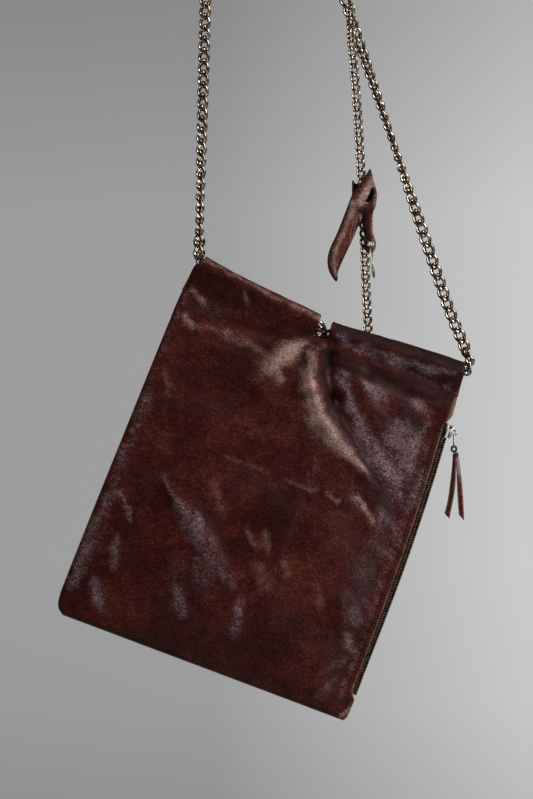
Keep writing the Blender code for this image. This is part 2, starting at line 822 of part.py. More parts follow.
def make_slider(metal, collection, cutters):
    shape = bmesh.new()
    bmesh.ops.create_cube(shape, size=1.0)
    bmesh.ops.scale(
        shape, vec=(SLIDER_THICKNESS, SLIDER_LENGTH, SLIDER_WIDTH), verts=shape.verts
    )
    bmesh.ops.bevel(
        shape, geom=shape.edges[:], offset=SLIDER_ROUND, segments=2, affect="EDGES", profile=0.5
    )
    placing = bag_placing(0.0)
    placing.translation = slider_point()
    slider = add_mesh("zip_slider", shape, placing, collection)
    turned = bag_placing(0.0)
    turned.translation = lug_point()
    lug = ring("slider_lug", LUG_RADIUS, LUG_WIRE, turned, cutters, around=12)
    combine(slider, [lug], "UNION")
    finish(slider, metal)


def puller_middle():
    """The middle of the puller, which hangs plumb from the lowest point of the lug's hole."""
    wires = (LUG_WIRE + PULLER_WIRE) / 2 + CLEARANCE
    drop = LUG_RADIUS - wires + (PULLER_LENGTH - PULLER_WIRE) / 2
    return lug_point() - Vector((0.0, 0.0, drop))


def make_puller(metal, collection):
    """A wire loop through the lug, in the plane that cuts the lug's lowest wire square."""
    radius = (PULLER_WIDTH - PULLER_WIRE) / 2
    stretch = 1.0 + (PULLER_LENGTH - PULLER_WIDTH) / 2 / radius
    upright = Matrix.Rotation(math.pi / 2, 4, "X")
    facing = Matrix.Rotation(math.pi / 2, 4, "Z")
    placing = Matrix.Translation(puller_middle()) @ facing @ upright
    puller = ring("zip_puller", radius, PULLER_WIRE, placing, collection, stretch)
    finish(puller, metal)


def make_tassel(leather, collection, cutters):
    """A lace looped through the puller: a loop, a knot and two ends that hang apart."""
    low = puller_middle() - Vector((0.0, 0.0, PULLER_LENGTH / 2))
    loop_radius = LACE_LOOP - LACE_THICKNESS / 2
    loop_centre = low - Vector((0.0, 0.0, LACE_LOOP - LACE_THICKNESS - PULLER_WIRE - CLEARANCE))
    placing = Matrix.Translation(loop_centre) @ Matrix.Rotation(math.pi / 2, 4, "X")
    tassel = ring("zip_tassel", loop_radius, LACE_THICKNESS, placing, collection, around=12)
    knot_shape = bmesh.new()
    bmesh.ops.create_uvsphere(knot_shape, u_segments=10, v_segments=6, radius=KNOT_SIZE / 2)
    knot_drop = LACE_LOOP + KNOT_SIZE / 2 - LACE_THICKNESS
    knot_centre = loop_centre + Vector((KNOT_ASIDE, 0.0, -knot_drop))
    knot_placing = Matrix.Translation(knot_centre) @ Matrix.Diagonal((0.85, 0.7, 1.1, 1.0))
    pieces = [add_mesh("knot", knot_shape, knot_placing, cutters)]
    for side, length in ((-1, 0.97), (1, 1.0)):
        pieces.append(make_lace(side, length * LACE_LENGTH, knot_centre, cutters))
    combine(tassel, pieces, "UNION")
    finish(tassel, leather)


def make_lace(side, length, knot, cutters):
    """One end of the lace: a flat strip that hangs from the knot, cut off at a slant."""
    shape = bmesh.new()
    rings = []
    for n in range(LACE_STEPS + 1):
        share = n / LACE_STEPS
        spread = LACE_APART * side + (LACE_RIGHT if side > 0 else LACE_LEFT) * share**1.3
        half = LACE_WIDTH / 2 * (0.6 + 0.4 * smoothstep(2 * share))
        slant = LACE_SLANT if n == LACE_STEPS else 0.0
        corners = []
        for u, w in ((-1, -1), (1, -1), (1, 1), (-1, 1)):
            x = spread + u * half
            y = w * LACE_THICKNESS / 2 + side * CLEARANCE
            z = -LACE_TOP - (length - LACE_TOP) * share - u * slant
            corners.append(shape.verts.new(knot + Vector((x, y, z))))
        rings.append(corners)
    for upper, lower in zip(rings, rings[1:]):
        for k in range(4):
            m = (k + 1) % 4
            shape.faces.new((upper[k], upper[m], lower[m], lower[k]))
    shape.faces.new(rings[0][::-1])
    shape.faces.new(rings[-1])
    bmesh.ops.recalc_face_normals(shape, faces=shape.faces)
    return add_mesh("lace", shape, Matrix.Identity(4), cutters)


def fob_place():
    """The leash's middle where the fob's loop holds it."""
    return smooth_route(leash_points(), LEASH_READINGS)[FOB_LEASH_POINT]


def fob_placing():
    """Places an outline in the plane of the fob's flat leather, from its lower left corner."""
    placing = Matrix.Rotation(math.pi / 2, 4, "X")
    right, up = fob_xy(FOB_ON_LEASH)
    placing.translation = fob_place() + Vector((-right, -fob_front(), -up))
    return placing


def fob_front():
    """How far the fob's flat leather lies in front of the leash's middle."""
    return LEASH_CHAIN / 2 + LEASH_ROOM + FOB_THICKNESS / 2


def fob_xy(corner):
    return corner.right * FOB_WIDTH, corner.up * FOB_LENGTH


def make_fob(leather, collection, cutters):
    """The fob: its flat leather in front, with a slot and an eyelet, and its loop round the leash."""
    outline = [fob_xy(corner) for corner in FOB]
    fob = as_mesh(
        make_flat("key_fob", outline, FOB_THICKNESS, fob_placing(), leather, collection)
    )
    loop = make_fob_loop(cutters)
    combine(fob, [loop], "UNION")
    start, stop = (Vector(fob_xy(corner)) for corner in FOB_SLOT)
    along = (stop - start).normalized()
    side = Vector((along.y, -along.x)) * FOB_SLOT_WIDTH / 2
    slot_outline = [
        start - side, start - along * 0.4 * FOB_SLOT_WIDTH, start + side,
        stop + side, stop + along * 0.4 * FOB_SLOT_WIDTH, stop - side,
    ]
    deep = 2 * FOB_THICKNESS
    slot = as_mesh(make_flat("slot", slot_outline, deep, fob_placing(), leather, cutters))
    eye = [math.tau * n / 10 for n in range(10)]
    x, y = fob_xy(FOB_EYELET)
    eye_outline = [(x + EYELET_RADIUS * math.cos(a), y + EYELET_RADIUS * math.sin(a)) for a in eye]
    hole = as_mesh(make_flat("eye", eye_outline, deep, fob_placing(), leather, cutters))
    combine(fob, [slot, hole], "DIFFERENCE")
    finish(fob, leather)


def make_fob_loop(cutters):
    """The band behind the leash: an arch from the flat leather's right side round to its left."""
    root = fob_front() - FOB_THICKNESS * 0.35
    depth = LEASH_CHAIN / 2 + LEASH_ROOM
    wide = FOB_LOOP_WIDTH / 2
    outer = arch(wide, depth + FOB_THICKNESS, root)
    inner = arch(wide - FOB_THICKNESS, depth, root)
    placing = Matrix.Translation(fob_place() + Vector((FOB_LOOP_SHIFT, 0.0, 0.0)))
    outline = outer + inner[::-1]
    loop = make_flat("loop", outline, FOB_LOOP_HEIGHT, placing, bpy.data.materials[0], cutters)
    return as_mesh(loop)


def arch(half_width, depth, root):
    """A round arch behind the leash, on straight legs that reach forward to the root."""
    points = [(half_width, -root)]
    for step in range(9):
        angle = math.pi * step / 8
        points.append((half_width * math.cos(angle), depth * math.sin(angle)))
    return points + [(-half_width, -root)]


def make_key_ring(metal, collection):
    """A round wire ring that hangs in the fob's eyelet, clear of the leash behind it."""
    corner = fob_placing().translation
    x, y = fob_xy(FOB_EYELET)
    eye = corner + Vector((x, 0.0, y))
    radius = (KEY_RING_SIZE - KEY_RING_WIRE) / 2
    rest = EYELET_RADIUS - KEY_RING_WIRE / 2 - CLEARANCE
    lean = Matrix.Rotation(-KEY_RING_LEAN, 4, "Y") @ Matrix.Rotation(-KEY_RING_TURN, 4, "Z")
    hung = Matrix.Translation((0.0, 0.0, -radius - rest * 0.8)) @ Matrix.Rotation(math.pi / 2, 4, "Y")
    placing = Matrix.Translation(eye) @ lean @ hung
    finish(ring("key_ring", radius, KEY_RING_WIRE, placing, collection, around=20), metal)


def build():
    clear_scene()
    parts = new_collection("leather_shoulder_bag")
    cutters = new_collection("cutters")
    leather = new_material("red_brown_leather", (0.085, 0.022, 0.014), 0.38)
    chain = new_material("gunmetal_chain", (0.10, 0.085, 0.065), 0.35, 1.0)
    steel = new_material("bright_steel", (0.60, 0.60, 0.58), 0.25, 1.0)
    brass = new_material("old_brass", (0.22, 0.16, 0.08), 0.40, 1.0)
    tape = new_material("dark_zip_tape", (0.030, 0.022, 0.018), 0.85)
    make_panel("front_panel", FRONT_COLUMNS, FRONT_ROWS, "front_short", FOLDS, 1, leather, parts)
    make_panel("back_panel", BACK_COLUMNS, BACK_ROWS, "back_short", BACK_FOLDS, -1, leather, parts)
    make_zip(tape, brass, parts)
    make_slider(steel, parts, cutters)
    make_puller(steel, parts)
    make_tassel(leather, parts, cutters)
    make_strap(chain, parts)
    make_back_hem_chain(chain, parts)
    make_leash(chain, parts)
    make_fob(leather, parts, cutters)
    make_key_ring(steel, parts)


build()
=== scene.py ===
"""The looks of a soft leather shoulder bag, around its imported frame.

Metres, +Z up, the bag's front faces -Y. The bag hangs turned clockwise, so it has axes of its
own: across runs along its bottom edge to the right, down runs from its top to its bottom, both
from its top left corner.
"""

import math
from collections import namedtuple

import bmesh
import bpy
import numpy as np
from mathutils import Matrix, Vector, noise
from mathutils.bvhtree import BVHTree


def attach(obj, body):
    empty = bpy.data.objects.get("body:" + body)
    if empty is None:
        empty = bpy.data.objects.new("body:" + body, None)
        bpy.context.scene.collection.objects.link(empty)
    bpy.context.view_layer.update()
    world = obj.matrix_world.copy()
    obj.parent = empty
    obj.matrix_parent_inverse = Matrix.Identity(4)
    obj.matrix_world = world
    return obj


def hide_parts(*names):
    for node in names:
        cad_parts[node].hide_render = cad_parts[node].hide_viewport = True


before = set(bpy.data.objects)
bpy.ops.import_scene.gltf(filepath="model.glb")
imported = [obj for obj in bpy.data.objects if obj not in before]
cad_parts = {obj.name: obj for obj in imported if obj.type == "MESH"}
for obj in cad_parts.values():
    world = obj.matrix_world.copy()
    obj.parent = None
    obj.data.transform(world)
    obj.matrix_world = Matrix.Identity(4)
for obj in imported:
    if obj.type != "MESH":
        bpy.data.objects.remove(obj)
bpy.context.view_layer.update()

# How the bag hangs
BAG_TILT = math.radians(20.6)
BAG_CORNER = Vector((-0.0208, 0.0, -0.5164))

# The bag
BAG_WIDTH = 0.272
BAG_HEIGHT = 0.337
BAG_DEPTH = 0.040
LEATHER = 0.0018
EDGE_ROUND = 0.005
CLEARANCE = 0.0003

# The hem tunnels along the top
HEM_HEIGHT = 0.031
HEM_AIR = 0.0009
HEM_TURN_IN = 0.004
CHAIN_ROOM = 0.0013
MOUTH_GAP = 0.012
NOTCH_PLACE = 0.494
NOTCH_WIDTH = 0.011
MOUTH_ROUNDNESS = 0.8
SEAM_ROUNDNESS = 0.6
RIDGE_START = 200
RIDGE_TURN = 220
WAIST = 0.55

# The leather between the hem and the edges: the stretches over which it changes
SWELL_ROUNDNESS = 0.75
SIDE_START = 0.86
SIDE_CHANGE = 0.12
HEM_FADE = 0.010
HEM_FADE_MIDDLE = 0.120
CALM_EDGE = 0.015
CALM_SEAM = 0.012

# The zip on the right side
ZIP_START = 0.0605
ZIP_END = 0.0235
ZIP_HALF_DEPTH = 0.005
ZIP_FRAME = 0.006
ZIP_LAP = 0.006
TAPE_THICKNESS = 0.001
TEETH_THICKNESS = 0.0026

# The slider, its puller and its tassel
SLIDER_LENGTH = 0.0120
SLIDER_WIDTH = 0.0085
SLIDER_THICKNESS = 0.0054
LUG_RADIUS = 0.0022
LUG_WIRE = 0.0013
LUG_SET_IN = 0.0002
PULLER_LENGTH = 0.013
PULLER_WIDTH = 0.0060
PULLER_WIRE = 0.0011
LACE_WIDTH = 0.0046
LACE_THICKNESS = 0.0020
LACE_LENGTH = 0.0545
LACE_LOOP = 0.0042
LACE_LEFT = -0.0066
LACE_RIGHT = 0.0040
LACE_SLANT = 0.0025
LACE_TOP = 0.0018
LACE_APART = 0.0012
KNOT_SIZE = 0.0072
KNOT_ASIDE = 0.0014

# The chains' tubes in the frame, by the size over their links
STRAP_CHAIN = 0.0088
LEASH_CHAIN = 0.0068
HOOK_RADIUS = 0.005
STRAP_TURN_OUT = 0.0137
STRAND_SLACK_ASIDE = -0.0246
STRAND_SLACK_RISE = 0.0594
STRAND_SLACK_ROUND = 0.15
HEM_CHAIN_BEND = 0.0050
HEM_CHAIN_RISE = 0.024
HEM_CHAIN_INSET = 0.020

# The fob on the leash
FOB_LENGTH = 0.099
FOB_WIDTH = 0.044
FOB_THICKNESS = 0.0020
FOB_LOOP_WIDTH = 0.0205
FOB_LOOP_HEIGHT = 0.014
FOB_LOOP_SHIFT = 0.0010
LEASH_ROOM = 0.0010
EYELET_RADIUS = 0.0022
KEY_RING_SIZE = 0.030
KEY_RING_WIRE = 0.0016
KEY_RING_LEAN = math.radians(6)
KEY_RING_TURN = math.radians(6)

ACROSS = Vector((math.cos(BAG_TILT), 0.0, -math.sin(BAG_TILT)))
DOWN = Vector((-math.sin(BAG_TILT), 0.0, -math.cos(BAG_TILT)))
HEM_RADIUS = STRAP_CHAIN / 2 + LEATHER + CHAIN_ROOM
HEM_FOLDED = 2 * LEATHER + HEM_AIR

# The bag's outline, row by row down its height: how far down as a share of BAG_HEIGHT, the left
# and right edges as shares of BAG_WIDTH, and how far the front and the back panel stop short of
# the right edge, as shares of ZIP_FRAME
Outline = namedtuple("Outline", "down left right front_short back_short")
OUTLINE = [
    Outline(0.000, 0.016, 0.911, 0.00, 0.00),
    Outline(0.012, 0.008, 0.913, 0.00, 0.00),
    Outline(0.028, -0.007, 0.920, 0.00, 0.00),
    Outline(0.066, -0.012, 0.929, 0.10, 0.00),
    Outline(0.117, -0.020, 0.937, 0.53, 0.00),
    Outline(0.155, -0.023, 0.941, 0.62, 0.00),
    Outline(0.180, -0.023, 0.944, 0.88, 0.60),
    Outline(0.200, -0.024, 0.946, 0.97, 1.00),
    Outline(0.323, -0.028, 0.957, 0.97, 1.00),
    Outline(0.458, -0.032, 0.965, 0.96, 1.00),
    Outline(0.592, -0.036, 0.969, 0.93, 1.00),
    Outline(0.728, -0.040, 0.969, 0.88, 0.95),
    Outline(0.862, -0.043, 0.967, 0.80, 0.90),
    Outline(0.920, -0.044, 0.967, 0.76, 0.76),
    Outline(0.936, -0.044, 0.966, 0.10, 0.10),
    Outline(0.946, -0.044, 0.966, 0.00, 0.00),
    Outline(0.972, -0.040, 0.965, 0.00, 0.00),
    Outline(0.988, -0.031, 0.963, 0.00, 0.00),
    Outline(1.000, -0.012, 0.956, 0.00, 0.00),
]

# The hem along the top: the ridge sags towards the notch, the seam stays nearly level. Both are
# distances down as shares of HEM_HEIGHT
Hem = namedtuple("Hem", "across ridge seam")
HEM = [
    Hem(0.00, -0.06, 0.94),
    Hem(0.08, 0.045, 1.02),
    Hem(0.22, 0.165, 1.05),
    Hem(0.40, 0.29, 1.00),
    Hem(0.47, 0.35, 0.96),
    Hem(0.53, 0.41, 0.93),
    Hem(0.68, 0.32, 0.88),
    Hem(0.85, 0.22, 0.92),
    Hem(1.00, 0.17, 1.02),
]

# How full the bag is on the way down from its seam, as shares of half of BAG_DEPTH
Swell = namedtuple("Swell", "down full")
SWELL = [
    Swell(0.00, 0.35),
    Swell(0.12, 0.44),
    Swell(0.35, 0.78),
    Swell(0.62, 1.00),
    Swell(0.82, 0.80),
    Swell(0.94, 0.36),
    Swell(1.00, 0.12),
]

# The folds of the front: each runs from one point to another, in shares of BAG_WIDTH across and
# BAG_HEIGHT down, with its half width as a share of BAG_WIDTH and its height as a share of
# BAG_DEPTH, a valley's below zero
Fold = namedtuple("Fold", "across down to_across to_down half_width height")
FOLDS = [
    Fold(0.452, 0.115, 0.480, 0.215, 0.024, 0.14),
    Fold(0.480, 0.215, 0.560, 0.292, 0.028, 0.15),
    Fold(0.560, 0.292, 0.740, 0.368, 0.032, 0.11),
    Fold(0.500, 0.128, 0.560, 0.222, 0.024, -0.12),
    Fold(0.560, 0.222, 0.760, 0.362, 0.024, -0.09),
    Fold(0.610, 0.165, 0.800, 0.290, 0.032, 0.07),
    Fold(0.640, 0.130, 0.860, 0.150, 0.024, -0.06),
    Fold(0.430, 0.118, 0.330, 0.260, 0.036, 0.09),
    Fold(0.400, 0.120, 0.120, 0.140, 0.024, -0.05),
    Fold(0.155, 0.585, 0.335, 0.683, 0.026, 0.06),
    Fold(0.335, 0.683, 0.462, 0.756, 0.026, 0.05),
    Fold(0.564, 0.477, 0.711, 0.461, 0.034, 0.05),
    Fold(0.810, 0.709, 0.880, 0.820, 0.022, 0.05),
]
BACK_FOLDS = [
    Fold(0.490, 0.110, 0.560, 0.300, 0.030, 0.12),
    Fold(0.440, 0.115, 0.300, 0.280, 0.034, 0.08),
]

# The leash's route: how far down it is from the strap, its place to the right of its top, and
# its depth, all as shares of LEASH_DROP, the straight way down to the bag's mouth
LEASH_DROP = 0.305
LEASH_PLACE = 0.5336
LEASH_ASIDE = 0.0024
FOB_LEASH_POINT = 22
LEASH_READINGS = 40
Route = namedtuple("Route", "down right back")
LEASH = [
    Route(-0.010, -0.003, 0.000),
    Route(0.090, 0.000, 0.004),
    Route(0.230, 0.013, 0.010),
    Route(0.436, 0.026, 0.020),
    Route(0.700, 0.039, 0.032),
    Route(0.841, 0.045, 0.038),
    Route(0.941, 0.051, 0.042),
    Route(1.000, 0.054, 0.043),
]

# The fob's outline from its tip, as shares of FOB_LENGTH up and of FOB_WIDTH to the right
Corner = namedtuple("Corner", "right up")
FOB = [
    Corner(0.166, 0.000),
    Corner(0.040, 0.083),
    Corner(0.000, 0.182),
    Corner(0.048, 0.288),
    Corner(0.198, 0.433),
    Corner(0.363, 0.621),
    Corner(0.490, 0.766),
    Corner(0.600, 0.840),
    Corner(0.727, 0.915),
    Corner(0.826, 0.985),
    Corner(0.866, 0.985),
    Corner(0.926, 0.881),
    Corner(0.986, 0.771),
    Corner(0.956, 0.661),
    Corner(0.906, 0.597),
    Corner(0.908, 0.433),
    Corner(0.962, 0.360),
    Corner(0.952, 0.286),
    Corner(0.855, 0.245),
    Corner(0.755, 0.277),
    Corner(0.726, 0.350),
    Corner(0.758, 0.424),
    Corner(0.737, 0.588),
    Corner(0.690, 0.561),
    Corner(0.495, 0.364),
    Corner(0.363, 0.242),
    Corner(0.214, 0.090),
    Corner(0.208, 0.030),
]
FOB_ON_LEASH = Corner(0.700, 0.724)
FOB_EYELET = Corner(0.856, 0.330)
FOB_SLOT_WIDTH = 0.0032

# The painted highlights, painted shade and lighter leather on the fob, in the same way as on the
# bag below, in shares of FOB_WIDTH and FOB_LENGTH, with half widths as shares of FOB_WIDTH
FobMark = namedtuple("FobMark", "kind right up to_right to_up half_width strength")
FOB_MARKS = [
    FobMark("painted_glow", 0.95, 0.94, 0.80, 0.80, 0.080, 0.58),
    FobMark("painted_glow", 0.80, 0.80, 0.66, 0.70, 0.095, 0.60),
    FobMark("painted_glow", 0.50, 0.69, 0.46, 0.58, 0.050, 0.60),
    FobMark("painted_glow", 0.44, 0.57, 0.30, 0.40, 0.045, 0.50),
    FobMark("painted_glow", 0.28, 0.40, 0.17, 0.27, 0.045, 0.62),
    FobMark("painted_glow", 0.16, 0.26, 0.13, 0.16, 0.050, 0.50),
    FobMark("painted_glow", 0.12, 0.13, 0.17, 0.06, 0.040, 0.45),
    FobMark("painted_glow", 0.655, 0.585, 0.680, 0.540, 0.022, 0.60),
    FobMark("painted_glow", 0.600, 0.480, 0.470, 0.360, 0.018, 0.20),
    FobMark("painted_glow", 0.965, 0.76, 0.95, 0.64, 0.040, 0.40),
    FobMark("painted_glow", 0.90, 0.58, 0.90, 0.42, 0.030, 0.45),
    FobMark("painted_glow", 0.93, 0.38, 0.93, 0.28, 0.035, 0.50),
    FobMark("painted_sheen", 0.74, 0.78, 0.66, 0.72, 0.050, 0.40),
    FobMark("rust", 0.50, 0.52, 0.38, 0.38, 0.060, 0.90),
    FobMark("rust", 0.36, 0.36, 0.22, 0.16, 0.060, 0.60),
    FobMark("deep", 0.66, 0.665, 0.75, 0.590, 0.100, 1.00),
    FobMark("deep", 0.77, 0.57, 0.79, 0.40, 0.060, 1.00),
    FobMark("deep", 0.81, 0.37, 0.83, 0.28, 0.045, 0.80),
    FobMark("deep", 0.55, 0.725, 0.64, 0.660, 0.025, 0.80),
]
FOB_CELL = 0.0007
SLOT_BEND = [
    Corner(0.762, 0.700),
    Corner(0.832, 0.728),
    Corner(0.878, 0.776),
    Corner(0.893, 0.818),
]

# The strip behind the fob's narrow end, from the knot down, with its width at each corner
STRIP_THICKNESS = 0.0005
STRIP_BEND = [
    Corner(0.690, 0.640),
    Corner(0.735, 0.560),
    Corner(0.770, 0.470),
    Corner(0.800, 0.375),
]
STRIP_WIDTHS = [0.0060, 0.0062, 0.0050, 0.0044]

# The split ring's wire, and how finely its turns are divided
RING_STRAND = 0.0008
RING_STEPS = 48

# The zip's teeth, each with a leg on its tape, and the bead along each tape's edge
TOOTH_PITCH = 0.0023
TOOTH_LENGTH = 0.0013
TOOTH_LEG = 0.0036
TOOTH_LEG_THICKNESS = 0.0008
TOOTH_OVERLAP = 0.0004
TEETH_WIDTH = 0.0055
TAPE_BEAD = 0.0012
TAPE_STEPS = 60

# The slider's plates
SLIDER_PLATE = 0.0011

# The tassel's two lace ends: the side, how far aside the end hangs, how soon it goes there, its
# length as a share of LACE_LENGTH and its turn at the knot in degrees
LaceEnd = namedtuple("LaceEnd", "side aside bend length turn")
LACE_ENDS = [LaceEnd(-1, LACE_LEFT, 2.1, 0.97, 35), LaceEnd(1, LACE_RIGHT, 0.75, 1.0, -30)]
LACE_ROWS = 28

# The rows of stitches: the distance from one to the next, their length and their thickness
STITCH_PITCH = 0.0031
STITCH_LENGTH = 0.0021
STITCH_THICKNESS = 0.0010
Stitching = namedtuple("Stitching", "name points")

# The real chains: the wire, the width and length over a link and the distance between links
Chain = namedtuple("Chain", "wire width length pitch")
STRAP_LINKS = Chain(0.0032, 0.0108, 0.0170, 0.0100)
LEASH_LINKS = Chain(0.0025, 0.0084, 0.0129, 0.00746)
LINK_AROUND = 28
LINK_SIDES = 8
LINK_TWIST = math.radians(-64)

# How each chain is turned about its own line: the height of a place and the turn there in degrees
Turn = namedtuple("Turn", "height degrees")
LEFT_TURNS = [
    Turn(-0.560, 0),
    Turn(-0.510, -56),
    Turn(-0.484, -74),
    Turn(-0.449, -60),
    Turn(-0.414, -42),
    Turn(-0.378, -28),
    Turn(-0.343, -16),
    Turn(0.02, -10),
]
RIGHT_TURNS = [
    Turn(-0.660, -360),
    Turn(-0.607, -285),
    Turn(-0.594, -265),
    Turn(-0.563, -230),
    Turn(-0.536, -200),
    Turn(-0.506, -178),
    Turn(-0.480, -150),
    Turn(-0.453, -118),
    Turn(-0.422, -90),
    Turn(-0.387, -65),
    Turn(-0.343, -38),
    Turn(-0.308, -20),
    Turn(0.02, -20),
]
LEASH_TURN = -12
BACK_TURN = 72
BACK_TURN_INSET = 0.03

# How far the chains sag where the notch lets them
FRONT_CHAIN_DIP = 0.0032
BACK_CHAIN_DIP = 0.0064

# How routes are rounded: the angle of an arc's steps and the least turn that gets an arc
ARC_STEP = math.radians(12)
LEAST_TURN = math.radians(2)
HOOK_STEPS = 12

# How finely the leathers are divided
FRONT_COLUMNS = 170
FRONT_ROWS = 212
BACK_COLUMNS = 100
BACK_ROWS = 130
RIDGE_STEPS = 8
HEM_SPLITS = 4
ROUNDING_PLACES = (0.05, 0.15, 0.3, 0.5, 0.75, 1.0)

# The leather's small relief: the height and size of its crumples, the distance between its
# gathers, and the stretches at its rims and past its hem over which the relief sets in
CRUMPLES = ((0.00035, 0.016), (0.00015, 0.006))
GATHER_SPACING = 0.0046
RELIEF_RIM = 0.008
RELIEF_HEM = 0.006

# How the marks are drawn: how far noise moves them and the size of its waves, how sharply they
# end, and how much the painted cool highlights narrow towards their ends
MARK_KINDS = ("painted_glow", "painted_sheen", "rust", "deep")
MARK_STRAY = 0.0024
MARK_STRAY_SIZE = 0.011
MARK_EDGE = 2.2
MARK_TAPER = 0.4
